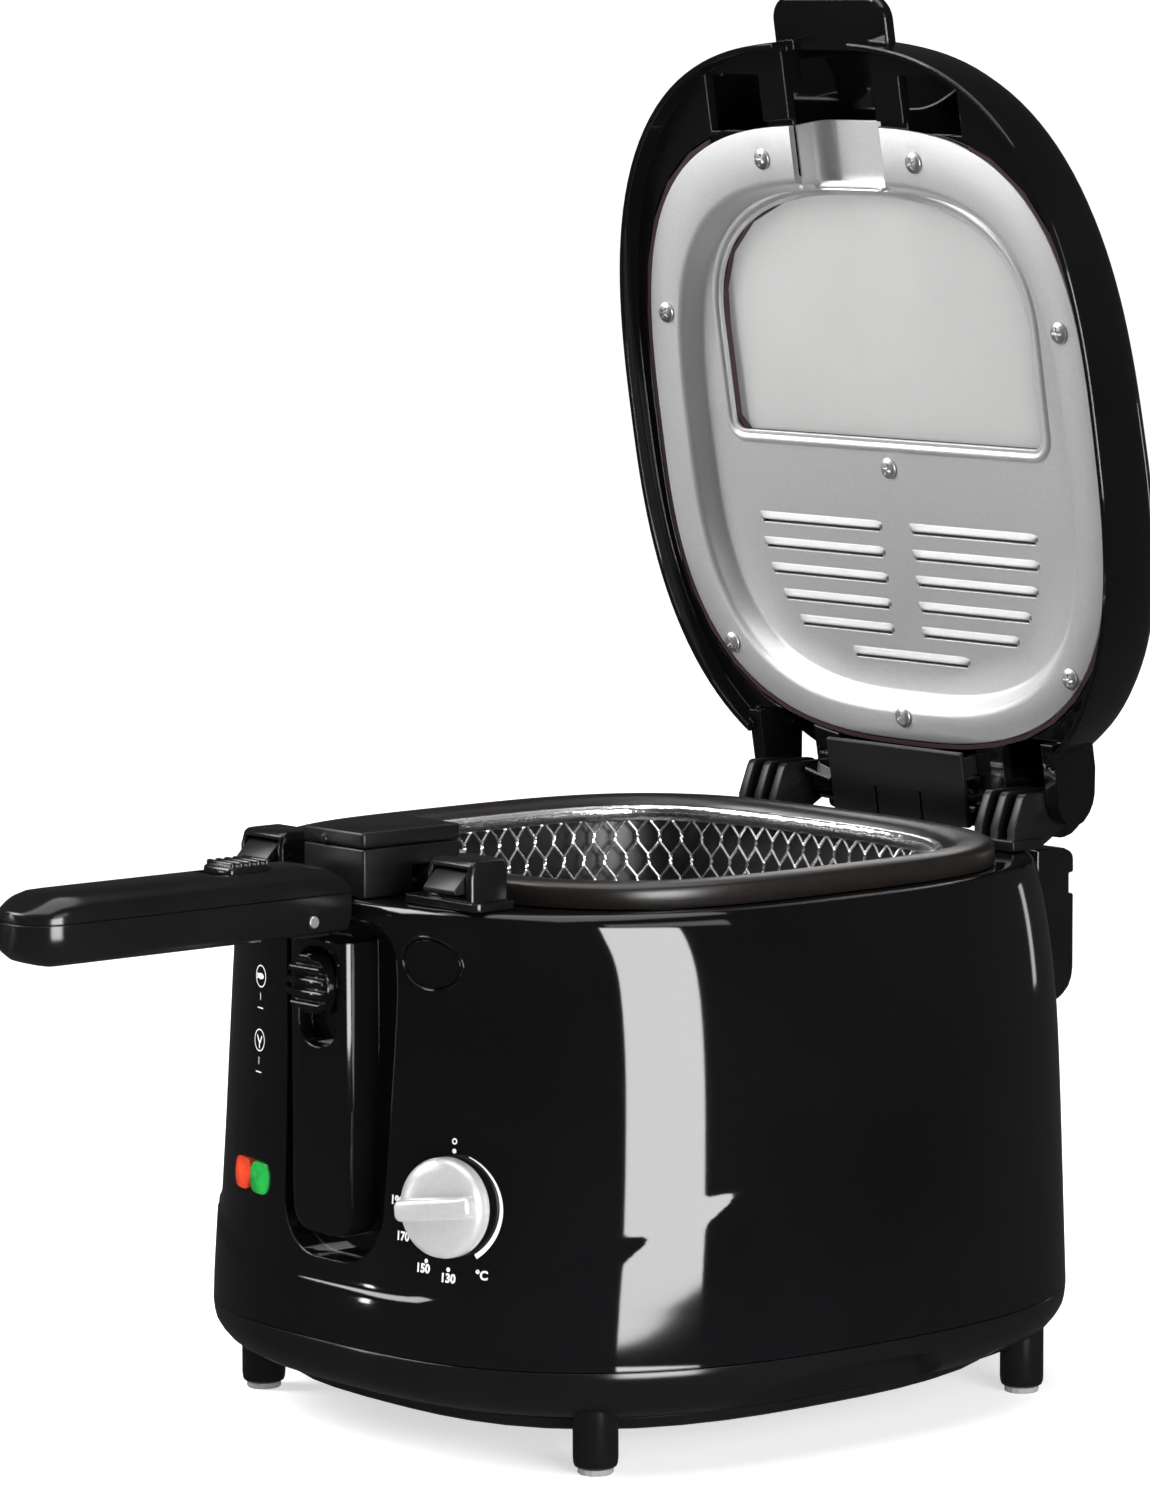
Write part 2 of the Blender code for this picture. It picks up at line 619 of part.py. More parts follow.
def make_knob(frame, shaft_frame):
    spot, out = wall_point(KNOB_X, KNOB_Z)
    disc = lathe(((17.1, 1.4), (17.5, 2.2), (17.2, 6.0), (15.6, 8.4), (9.0, 9.6), (3.0, 9.9)), 28)
    knob = new_part("knob", turn_to(disc, spot, out), "silver_paint", frame)
    across = Vector((0.0, 0.0, 1.0)).cross(out).normalized()
    up = out.cross(across).normalized()
    turn = math.radians(KNOB_REST_DEG)
    along = up * math.cos(turn) + across * math.sin(turn)
    side = out.cross(along).normalized()
    bar = box(-3.6, 3.6, -17.3, 17.3, 4.0, 15.0, 1.4, 2)
    for vert in bar.verts:
        x, y, z = vert.co
        vert.co = spot + side * x + along * y + out * z
    combine(knob, "UNION", "knob_bar", bar, frame)
    combine(knob, "DIFFERENCE", "knob_bore",
            turn_to(lathe(((3.2, -3.0), (3.2, 7.0)), 16), spot, out), frame)
    shaft = turn_to(lathe(((2.9, -9.6), (2.9, 6.6)), 16), spot, out)
    new_part("knob_shaft", shaft, "steel", shaft_frame)


# ---------------------------------------------------------------- basket

def basket_ring(inset, z, count=40):
    return oval(BASKET_TOP_HALF - inset, BASKET_DEPTH - inset, BASKET_REAR - inset,
                3.4, 3.4, BASKET_Y, z, count)


def make_basket(frame):
    profile = ((50.0, 113.6), (10.0, 113.6), (6.6, 115.6), (5.4, 120.6), (0.0, 198.6),
               (1.5, 198.6), (6.9, 121.0), (8.0, 117.0), (11.0, 115.1), (50.0, 115.1))
    new_part("basket", loft([basket_ring(d, z) for d, z in profile]), "wire", frame)
    rows = []
    for k in range(6):
        t = 2.0 * math.pi * k / 6
        rows.append(basket_ring(0.8 - 1.9 * math.cos(t), 200.9 + 1.9 * math.sin(t)))
    new_part("basket_rim", loft(rows, closed=True), "wire", frame, 60.0)
    hanger = new_part("basket_hanger", box(-11.0, 11.0, -94.9, -93.5, 150.0, 212.0), "steel", frame)
    hook = box(-11.0, 11.0, -94.9, -88.4, 207.0, 208.4)
    combine(hanger, "UNION", "hanger_hook", hook, frame)


# ---------------------------------------------------------------- folding handle

def handle_side_view(lower):
    tip = HANDLE_TIP_Y
    rear = []
    if lower:
        points = [(tip + 1.2, HANDLE_SEAM_Z - 0.15), (tip, 194.0), (tip + 1.0, 188.5),
                  (tip + 4.5, 185.0), (tip + 9.0, HANDLE_LOW_Z)]
        for a in (-18.0, -8.0, 2.0, 12.0, 22.0, 27.3):
            turn = math.radians(a)
            rear.append((PIVOT_Y + 19.5 * math.cos(turn), PIVOT_Z + 19.5 * math.sin(turn)))
        rear[-1] = (rear[-1][0], HANDLE_SEAM_Z - 0.15)
        return points + rear
    points = [(tip + 1.4, HANDLE_SEAM_Z + 0.15)]
    for a in (27.6, 40.0, 52.0, 64.0, 76.0, 90.0):
        turn = math.radians(a)
        rear.append((PIVOT_Y + 19.0 * math.cos(turn), PIVOT_Z + 19.0 * math.sin(turn)))
    rear[0] = (rear[0][0], HANDLE_SEAM_Z + 0.15)
    points += rear
    points += [(tip + 16.0, HANDLE_TOP_Z), (tip + 8.0, 208.0), (tip + 3.4, 205.0)]
    return points


def make_handle(frame, slide_frame):
    grip = rounded_rect(-HANDLE_HALF, HANDLE_HALF, HANDLE_TIP_Y, -130.0, 11.0, 4)
    lower = new_part("handle_lower", prism(handle_side_view(True), "X", -16.5, 16.5),
                     "handle_black", frame)
    combine(lower, "INTERSECT", "lower_plan", prism(grip, "Z", 170.0, 215.0), frame)
    slot = prism([(PIVOT_Y - 8.0, 170.0), (PIVOT_Y + 30.0, 170.0), (PIVOT_Y + 30.0, 205.0),
                  (PIVOT_Y - 8.0, 205.0)], "X", -10.0, 10.0)
    combine(lower, "DIFFERENCE", "fork_slot", slot, frame)
    combine(lower, "DIFFERENCE", "fork_bore",
            prism(circle(PIVOT_Y, PIVOT_Z, 2.5, 14), "X", -20.0, 20.0), frame)
    combine(lower, "DIFFERENCE", "spring_pocket",
            box(-6.0, 6.0, -200.0, -174.5, 195.0, 203.0), frame)
    upper = new_part("handle_upper", prism(handle_side_view(False), "X", -16.5, 16.5),
                     "handle_black", frame)
    crown = [(-16.5, 190.0), (16.5, 190.0), (16.5, 204.0), (14.6, 206.6), (10.0, 208.4),
             (4.0, 209.0), (-4.0, 209.0), (-10.0, 208.4), (-14.6, 206.6), (-16.5, 204.0)]
    combine(upper, "INTERSECT", "crown", prism(crown, "Y", -290.0, -120.0), frame)
    combine(upper, "INTERSECT", "upper_plan", prism(grip, "Z", 170.0, 215.0), frame)
    combine(upper, "DIFFERENCE", "thumb_slot",
            prism(rounded_rect(-8.4, 8.4, -197.0, -171.5, 2.0, 2), "Z", 190.0, 215.0), frame)
    thumb = new_part("thumb_slider", box(-8.0, 8.0, -190.4, -172.0, 202.6, 211.0, 1.0, 1),
                     "matte_black", slide_frame)
    ribs = [box(-7.4, 7.4, -188.6 + 3.6 * k, -186.9 + 3.6 * k, 210.0, 212.6, 0.5, 1)
            for k in range(5)]
    combine(thumb, "UNION", "thumb_ribs", join(*ribs), slide_frame)
    stem = box(-3.0, 3.0, -180.0, -176.0, 198.0, 204.0)
    combine(thumb, "UNION", "thumb_stem", stem, slide_frame)


# ---------------------------------------------------------------- lid

def lid_rim(inset, z, lift=0.0):
    """Lid outline ring; lift slopes it up towards the rear."""
    ring = oval(LID_HALF_WIDTH - inset, LID_FRONT - inset, LID_REAR - inset, 2.7, 2.6, 0.0, z)
    return [(x, y, z0 + lift * (y + LID_FRONT) / (LID_FRONT + LID_REAR)) for x, y, z0 in ring]


def panel_ring(inset, z):
    return oval(PANEL_HALF_WIDTH - inset, PANEL_FRONT - inset, PANEL_REAR - inset, 3.2, 2.75,
                PANEL_Y, z)


LID_OUTER = ((0.0, 200.1, 0.0), (0.3, 206.0, 0.0), (1.2, 214.0, 1.0), (3.0, 221.0, 6.0),
             (7.0, 225.4, 11.0), (16.0, 227.6, 14.0), (44.0, 228.6, 15.5))


def lid_fill(inset):
    rings = [lid_rim(d + inset, z, lift) for d, z, lift in LID_OUTER[:-1]]
    rings.append(lid_rim(44.0, LID_OUTER[-1][1] - inset, LID_OUTER[-1][2]))
    return loft(rings)


def window_outline(grow=0.0):
    """D-shaped window in plan: straight side to the rear, arch to the front."""
    half = 84.0 + grow
    points = [(-half + 5.0, 5.0 + grow), (-half, grow)]
    for i in range(13):
        t = math.pi * i / 12
        c = math.cos(t)
        s = math.sin(t)
        reach = (abs(c) ** 2.5 + abs(s) ** 2.5) ** (-0.4)
        points.append((-half * c * reach, -35.0 - (52.5 + grow) * s * reach))
    points += [(half, grow), (half - 5.0, 5.0 + grow)]
    return points


LOUVRES = ((39.5, 9.0, 74.5), (49.5, 9.0, 74.0), (59.5, 9.0, 71.8), (69.5, 9.0, 66.5),
           (79.2, 9.0, 58.7))
SCREWS = ((-41.4, -101.6, FLANGE_Z), (41.4, -101.6, FLANGE_Z), (-107.4, -41.0, FLANGE_Z),
          (107.4, -41.0, FLANGE_Z), (-92.8, 88.0, FLANGE_Z), (92.8, 88.0, FLANGE_Z),
          (0.0, 110.0, FLANGE_Z), (0.0, 16.0, FLANGE_Z + PAN_DEPTH))


def window_funnel(grow, low):
    """Well of the window, flared outwards above the glass."""
    rings = [[(x, y, z) for x, y in window_outline(grow + flare)]
             for flare, z in ((0.0, low), (0.0, 223.0), (15.0, 238.0), (17.0, 262.0))]
    return loft(rings)


def make_lid_shell(frame):
    rings = [lid_rim(44.0, LID_OUTER[-1][1], LID_OUTER[-1][2])]
    for d, z, lift in reversed(LID_OUTER[:-1]):
        rings.append(lid_rim(d, z, lift))
    rings.append(lid_rim(2.2, LID_RIM_Z))
    rings.append(lid_rim(2.6, FLANGE_Z))
    rings.append(panel_ring(-2.4, FLANGE_Z))
    rings.append(panel_ring(-2.4, 209.2))
    rings.append(panel_ring(8.0, 209.2))
    rings.append(panel_ring(8.0, 211.0))
    rings.append(lid_rim(4.0, 211.6))
    for d, z, lift in LID_OUTER[3:-1]:
        rings.append(lid_rim(d + 2.0, z - 1.2, lift))
    rings.append(lid_rim(44.0, LID_OUTER[-1][1] - 2.0, LID_OUTER[-1][2]))
    shell = new_part("lid_shell", loft(rings), "gloss_black", frame, 32.0)

    tab = prism(rounded_rect(-30.7, 30.7, -162.0, -128.0, 9.0, 4), "Z", 211.0, 216.2)
    combine(shell, "UNION", "grip_tab", tab, frame)
    hump = [(134.0, 219.2), (153.0, 219.2), (155.0, 224.0), (153.5, 231.0), (149.0, 236.0),
            (141.0, 240.0), (128.0, 241.0), (128.0, 236.0), (136.0, 232.0)]
    combine(shell, "UNION", "rear_hump", prism(hump, "X", -62.0, 62.0), frame)
    well = new_cutter("window_well", window_funnel(4.6, 222.6), frame)
    combine(well, "INTERSECT", "fill_for_well", lid_fill(0.6), frame)
    combine_with(shell, "UNION", well)
    arms = []
    for side in (-1.0, 1.0):
        low, high = sorted((side * 38.5, side * 50.0))
        barrel = [(HINGE_Y + 6.6 * math.cos(math.radians(a)),
                   HINGE_Z + 6.6 * math.sin(math.radians(a))) for a in range(-150, 61, 21)]
        arms.append(prism(barrel + [(150.0, 221.5), (128.0, 221.5), (128.0, 207.0)], "X", low, high))
    combine(shell, "UNION", "hinge_arms", join(*arms), frame)
    ears = []
    for side in (-1.0, 1.0):
        low, high = sorted((side * 77.2, side * 83.6))
        ears.append(prism([(113.0, 203.2), (138.0, 203.2), (142.5, 205.0), (145.0, 209.0),
                           (145.0, 213.0), (142.0, 218.0), (136.0, 221.5), (126.0, 223.5),
                           (113.0, 223.5)], "X", low, high))
    cuts = [window_funnel(2.6, 190.0),
            box(-20.5, 20.5, -160.0, -142.0, 195.0, 211.0),
            box(-24.0, 24.0, -142.3, -86.0, 195.0, 220.2),
            box(-23.6, 23.6, -137.0, -86.0, 195.0, 223.0),
            prism(circle(HINGE_Y, HINGE_Z, 2.9, 16), "X", -60.0, 60.0)]
    for side in (-1.0, 1.0):
        low, high = sorted((side * 38.2, side * 68.4))
        cuts.append(box(low, high, -133.6, -112.0, 204.0, 216.0))
        low, high = sorted((side * 51.6, side * 82.0))
        cuts.append(box(low, high, 112.5, 170.0, 195.0, 219.4))
    low_middle = box(-38.0, 38.0, 118.6, 160.0, 195.0, 218.0)
    cuts.append(low_middle)
    for number, cut in enumerate(cuts):
        combine(shell, "DIFFERENCE", "lid_cut_%d" % number, cut, frame)
    combine(shell, "UNION", "hinge_ears", join(*ears), frame)
    slots = [box(-46.0, 46.0, y - 1.6, y + 1.6, 225.0, 250.0) for y in (42.0, 52.0, 62.0, 72.0, 82.0)]
    combine(shell, "DIFFERENCE", "vent_slots", join(*slots), frame)


def make_lid_panel(frame):
    rings = [oval(99.0, 99.0, 93.0, 3.2, 2.9, PANEL_Y, FLANGE_Z + PAN_DEPTH),
             oval(103.0, 102.4, 97.0, 3.2, 2.9, PANEL_Y, FLANGE_Z + 2.0),
             oval(105.0, 104.4, 99.0, 3.2, 2.9, PANEL_Y, FLANGE_Z),
             panel_ring(0.0, FLANGE_Z),
             panel_ring(0.0, FLANGE_Z + SHEET),
             oval(105.6, 105.0, 99.6, 3.2, 2.9, PANEL_Y, FLANGE_Z + SHEET),
             oval(104.2, 103.6, 98.2, 3.2, 2.9, PANEL_Y, FLANGE_Z + 3.0),
             oval(99.7, 99.7, 93.7, 3.2, 2.9, PANEL_Y, FLANGE_Z + PAN_DEPTH + SHEET)]
    panel = new_part("lid_panel", loft(rings), "aluminium", frame)
    combine(panel, "UNION", "channel_block",
            box(-22.7, 22.7, -114.3, -90.6, FLANGE_Z, 221.9), frame)
    combine(panel, "DIFFERENCE", "channel_cut",
            box(-21.5, 21.5, -130.0, -91.8, 190.0, 220.7), frame)
    combine(panel, "DIFFERENCE", "channel_mouth",
            box(-21.5, 21.5, -130.0, -88.4, 190.0, 214.3), frame)
    combine(panel, "DIFFERENCE", "window_cut",
            prism(window_outline(), "Z", 190.0, 218.5), frame)
    slots = []
    for y, near, far in LOUVRES:
        for side in (-1.0, 1.0):
            low, high = sorted((side * near, side * far))
            slots.append(box(low, high, y - 1.3, y + 1.3, 205.0, 225.0))
    slots.append(box(-30.6, 30.6, 88.0, 90.6, 205.0, 225.0))
    combine(panel, "DIFFERENCE", "louvres", join(*slots), frame)
    holes = [prism(circle(x, y, 1.9, 10), "Z", z - 5.0, z + 5.0) for x, y, z in SCREWS]
    combine(panel, "DIFFERENCE", "screw_holes", join(*holes), frame)


def make_lid_fittings(frame):
    seal = [panel_ring(d, z) for d, z in ((-0.4, 207.5), (-2.0, 207.5), (-2.0, 208.9), (-0.4, 208.9))]
    strip = new_part("panel_seal", loft(seal, closed=True), "seal_rubber", frame)
    combine(strip, "DIFFERENCE", "latch_gap", box(-71.0, 71.0, -130.0, -92.0, 200.0, 215.0), frame)
    glass = prism(window_outline(2.4), "Z", 219.2, 222.2)
    new_part("window_glass", glass, "clear_glass", frame)
    gasket = new_part("window_gasket", prism(window_outline(2.0), "Z", 216.4, 218.9),
                      "seal_rubber", frame)
    combine(gasket, "DIFFERENCE", "gasket_hole", prism(window_outline(0.3), "Z", 200.0, 240.0), frame)
    new_part("grease_filter", box(-76.0, 76.0, 27.0, 96.0, 217.0, 222.4, 3.0, 2), "filter_felt", frame)
    cover = []
    for inset, z in ((0.0, 0.0), (0.6, 1.8), (2.6, 2.8)):
        ring = rounded_rect(-58.0 + inset, 58.0 - inset, 30.0 + inset, 94.0 - inset, 8.0, 3)
        cover.append([(x, y, 229.0 + 15.5 * (y + 147.0) / 287.0 + z) for x, y in ring])
    grille = new_part("filter_cover", loft(cover), "matte_black", frame)
    slots = [box(-46.0, 46.0, y - 1.6, y + 1.6, 230.0, 260.0) for y in (42.0, 52.0, 62.0, 72.0, 82.0)]
    combine(grille, "DIFFERENCE", "cover_slots", join(*slots), frame)
    flap = new_part("hinge_flap", box(-37.0, 37.0, 119.4, 148.0, 199.6, 202.0, 0.5, 1),
                    "matte_black", frame)
    webs = join(box(-37.0, -34.6, 121.9, 129.0, 200.5, 212.0),
                box(34.6, 37.0, 121.9, 129.0, 200.5, 212.0))
    combine(flap, "UNION", "flap_webs", webs, frame)
    slits = join(box(-13.0, -11.4, 136.0, 150.0, 195.0, 205.0),
                 box(11.4, 13.0, 136.0, 150.0, 195.0, 205.0))
    combine(flap, "DIFFERENCE", "flap_slits", slits, frame)


def make_screws(frame):
    profile = ((2.4, -1.6), (4.0, -0.9), (4.0, -0.3), (1.5, -0.3), (1.5, 1.6))
    mesh = finish_mesh("lid_screw", lathe(profile, 12), (0.0, 0.0, 0.0))
    mesh.materials.append(MATERIALS["steel"])
    mesh.shade_smooth()
    mesh.set_sharp_from_angle(angle=math.radians(40.0))
    parent, origin = frame
    for number, (x, y, z) in enumerate(SCREWS):
        screw = bpy.data.objects.new("lid_screw_%d" % (number + 1), mesh.copy())
        PARTS.objects.link(screw)
        screw.parent = parent
        screw.location = (Vector((x, y, z)) - Vector(origin)) * MM
    bpy.data.meshes.remove(mesh)


# ---------------------------------------------------------------- assembly

def build():
    base = new_empty("fryer_base", (0.0, BASE_Y, 0.0))
    root = (base, (0.0, 0.0, 0.0))
    hinge = (0.0, HINGE_Y, HINGE_Z)
    lid = (new_empty("lid_axis", hinge, base, (math.radians(-LID_OPEN_DEG), 0.0, 0.0)), hinge)
    pivot = (0.0, PIVOT_Y, PIVOT_Z)
    handle = (new_empty("handle_axis", pivot, base), pivot)
    thumb_place = (0.0, -181.0, 204.0)
    thumb = (new_empty("thumb_axis", thumb_place, handle[0], origin=pivot), thumb_place)
    knob_place, _ = wall_point(KNOB_X, KNOB_Z)
    knob = (new_empty("knob_axis", knob_place, base), tuple(knob_place))
    basket_place = (0.0, BASKET_Y, BASKET_LOW_Z)
    basket = (new_empty("basket_axis", basket_place, base), basket_place)
    slider_place = (0.0, -147.0, 166.5)
    slider = (new_empty("slider_axis", slider_place, base), slider_place)
    release_place = (BUTTON_X, -128.0, BUTTON_Z)
    release = (new_empty("release_axis", release_place, base), release_place)

    make_housing(root)
    make_base(root)
    make_pot(root)
    make_inner_works(root)
    make_lenses(root)
    make_hinge_housing(root)
    make_hinge_brackets(root)
    make_towers(root)
    make_bracket(root)
    new_part("lid_spring", helix(-33.0, 33.0, 9, 4.2, 0.8, HINGE_Y, HINGE_Z, 7, 3), "steel",
             root, 60.0)
    new_part("latch_spring", box(-22.0, 22.0, -115.2, -114.4, 182.0, 189.0), "steel", root)
    new_part("catch_spring", helix_up(0.0, -142.6, 158.2, 170.4, 6, 1.1, 0.3), "steel", root, 60.0)
    make_catch_slider(slider)
    make_release(release)
    make_knob(knob, knob)
    make_basket(basket)
    make_handle(handle, thumb)
    new_part("thumb_spring", box(-2.4, 2.4, -198.5, -187.0, 195.6, 198.4, 0.6, 1), "steel", handle)
    make_lid_shell(lid)
    make_lid_panel(lid)
    make_lid_fittings(lid)
    make_screws(lid)


clear_scene()
PARTS = new_collection("deep_fryer")
CUTTERS = new_collection("cutters")
MATERIALS = {
    "gloss_black": new_material("gloss_black", (0.006, 0.006, 0.007), 0.0, 0.12),
    "matte_black": new_material("matte_black", (0.012, 0.012, 0.013), 0.0, 0.45),
    "handle_black": new_material("handle_black", (0.010, 0.010, 0.011), 0.0, 0.30),
    "pot_coating": new_material("pot_coating", (0.030, 0.027, 0.026), 0.2, 0.45),
    "aluminium": new_material("aluminium", (0.62, 0.62, 0.63), 1.0, 0.38),
    "steel": new_material("steel", (0.60, 0.60, 0.60), 1.0, 0.30),
    "wire": new_material("wire", (0.75, 0.75, 0.75), 1.0, 0.15),
    "silver_paint": new_material("silver_paint", (0.62, 0.62, 0.63), 0.8, 0.35),
    "clear_glass": new_material("clear_glass", (0.80, 0.83, 0.83), 0.0, 0.05),
    "red_lens": new_material("red_lens", (0.55, 0.03, 0.01), 0.0, 0.15),
    "green_lens": new_material("green_lens", (0.01, 0.40, 0.05), 0.0, 0.15),
    "seal_rubber": new_material("seal_rubber", (0.02, 0.02, 0.02), 0.0, 0.70),
    "grey_rubber": new_material("grey_rubber", (0.20, 0.20, 0.20), 0.0, 0.75),
    "filter_felt": new_material("filter_felt", (0.16, 0.16, 0.15), 0.0, 0.90),
}
build()
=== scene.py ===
from math import asin, atan2, cos, degrees, hypot, pi, radians, sin, sqrt

import bmesh
import bpy
from mathutils import Matrix, Vector


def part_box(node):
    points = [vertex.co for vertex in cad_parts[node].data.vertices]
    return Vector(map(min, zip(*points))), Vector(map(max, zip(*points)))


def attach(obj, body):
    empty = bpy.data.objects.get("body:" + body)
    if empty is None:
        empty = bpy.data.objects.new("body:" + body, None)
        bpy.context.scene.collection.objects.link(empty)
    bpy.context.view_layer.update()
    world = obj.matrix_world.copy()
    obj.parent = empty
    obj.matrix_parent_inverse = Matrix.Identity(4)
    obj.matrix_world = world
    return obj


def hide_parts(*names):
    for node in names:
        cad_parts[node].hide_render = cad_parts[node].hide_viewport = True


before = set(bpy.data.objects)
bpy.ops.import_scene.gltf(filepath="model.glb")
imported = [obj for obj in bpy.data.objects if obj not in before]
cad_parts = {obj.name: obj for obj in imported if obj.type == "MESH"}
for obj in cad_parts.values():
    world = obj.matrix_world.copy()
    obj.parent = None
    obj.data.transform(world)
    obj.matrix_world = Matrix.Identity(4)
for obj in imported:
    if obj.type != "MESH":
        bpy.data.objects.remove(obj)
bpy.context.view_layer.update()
MM = 0.001
RING_POINTS = 160  # points round each oval of the body and the lid

# Everything is drawn in millimetres about the middle of the body, floor at zero, as the CAD is,
# and then moved on by BASE_Y, which the feet and the hinge pin give.
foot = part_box("foot_front_left")
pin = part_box("hinge_pin")
BASE_Y = (foot[0].y + foot[1].y) / 2 / MM + 99.7
HINGE = Vector((0.0, (pin[0].y + pin[1].y) / 2 / MM - BASE_Y, (pin[0].z + pin[1].z) / 2 / MM))
OPEN = radians(-80.7)
LID_TURN = Matrix.Translation(HINGE) @ Matrix.Rotation(OPEN, 4, "X") @ Matrix.Translation(-HINGE)
TO_WORLD = Matrix.Translation((0.0, BASE_Y * MM, 0.0)) @ Matrix.Diagonal((MM, MM, MM, 1.0))

# Places that several pieces share: (X, Z) on the front wall, or (Y, Z) of a pin seen from the side.
DIAL = (59.2, 93.0)
RELEASE = (47.4, 176.3)
PIVOT = (-160.7, 190.0)
HINGE_PIN = (140.0, 209.3)
HANDLE_TIP = -278.0
DECK = 196.15  # underside of what stands on the deck


# --- materials

def shader_of(mat):
    return mat.node_tree.nodes["Principled BSDF"]


def material(name, colour, rough, metal=0.0, **extra):
    """Procedural finish: tone and roughness drift, fine bump and softened edges.
    extra: tone, tone_scale, rough_var, grain, grain_scale, grain_mm, edge, coat, coat_rough, spec."""
    mat = bpy.data.materials.new(name)
    mat.use_nodes = True
    tree = mat.node_tree
    nodes, links = tree.nodes, tree.links
    shader = shader_of(mat)
    shader.inputs["Metallic"].default_value = metal
    if "coat" in extra:
        shader.inputs["Coat Weight"].default_value = extra["coat"]
        shader.inputs["Coat Roughness"].default_value = extra.get("coat_rough", 0.05)
    if "spec" in extra:
        shader.inputs["Specular IOR Level"].default_value = extra["spec"]
    place = nodes.new("ShaderNodeTexCoord")
    tone = extra.get("tone", 0.12)
    drift = nodes.new("ShaderNodeTexNoise")
    drift.inputs["Scale"].default_value = extra.get("tone_scale", 18.0)
    drift.inputs["Detail"].default_value = 4.0
    links.new(place.outputs["Object"], drift.inputs["Vector"])
    ramp = nodes.new("ShaderNodeValToRGB")
    ramp.color_ramp.elements[0].position = 0.3
    ramp.color_ramp.elements[1].position = 0.7
    ramp.color_ramp.elements[0].color = (*[c * (1 - tone) for c in colour], 1)
    ramp.color_ramp.elements[1].color = (*[min(1, c * (1 + tone)) for c in colour], 1)
    links.new(drift.outputs["Fac"], ramp.inputs["Fac"])
    links.new(ramp.outputs["Color"], shader.inputs["Base Color"])
    spread = nodes.new("ShaderNodeMapRange")
    var = extra.get("rough_var", 0.15)
    spread.inputs["To Min"].default_value = rough * (1 - var)
    spread.inputs["To Max"].default_value = rough * (1 + var)
    fine = nodes.new("ShaderNodeTexNoise")
    fine.inputs["Scale"].default_value = extra.get("grain_scale", 700.0)
    fine.inputs["Detail"].default_value = 3.0
    links.new(place.outputs["Object"], fine.inputs["Vector"])
    links.new(drift.outputs["Fac"], spread.inputs["Value"])
    links.new(spread.outputs["Result"], shader.inputs["Roughness"])
    bump = nodes.new("ShaderNodeBump")
    bump.inputs["Strength"].default_value = extra.get("grain", 0.05)
    bump.inputs["Distance"].default_value = extra.get("grain_mm", 0.1) * MM
    links.new(fine.outputs["Fac"], bump.inputs["Height"])
    if extra.get("edge", 0.0) > 0.0:
        round_off = nodes.new("ShaderNodeBevel")
        round_off.samples = 4
        round_off.inputs["Radius"].default_value = extra["edge"] * MM
        links.new(round_off.outputs["Normal"], bump.inputs["Normal"])
    links.new(bump.outputs["Normal"], shader.inputs["Normal"])
    return mat


def glow(mat, colour, strength):
    shader = shader_of(mat)
    shader.inputs["Emission Color"].default_value = (*colour, 1)
    shader.inputs["Emission Strength"].default_value = strength
    return mat


def core_glow(mat, centre, reach, colour, strength):
    """Lamp seen through a lens: bright in the middle, dark towards the edges."""
    nodes, links = mat.node_tree.nodes, mat.node_tree.links
    coords = nodes.new("ShaderNodeTexCoord")
    shift = nodes.new("ShaderNodeMapping")
    for axis in range(3):
        shift.inputs["Scale"].default_value[axis] = 1.0 / reach[axis]
        shift.inputs["Location"].default_value[axis] = -centre[axis] / reach[axis]
    fall = nodes.new("ShaderNodeTexGradient")
    fall.gradient_type = "SPHERICAL"
    tint = nodes.new("ShaderNodeValToRGB")
    tint.color_ramp.elements[0].color = (0, 0, 0, 1)
    tint.color_ramp.elements[1].color = (*colour, 1)
    tint.color_ramp.elements[1].position = 0.75
    links.new(coords.outputs["Object"], shift.inputs["Vector"])
    links.new(shift.outputs["Vector"], fall.inputs["Vector"])
    links.new(fall.outputs["Fac"], tint.inputs["Fac"])
    links.new(tint.outputs["Color"], shader_of(mat).inputs["Emission Color"])
    shader_of(mat).inputs["Emission Strength"].default_value = strength
    return mat


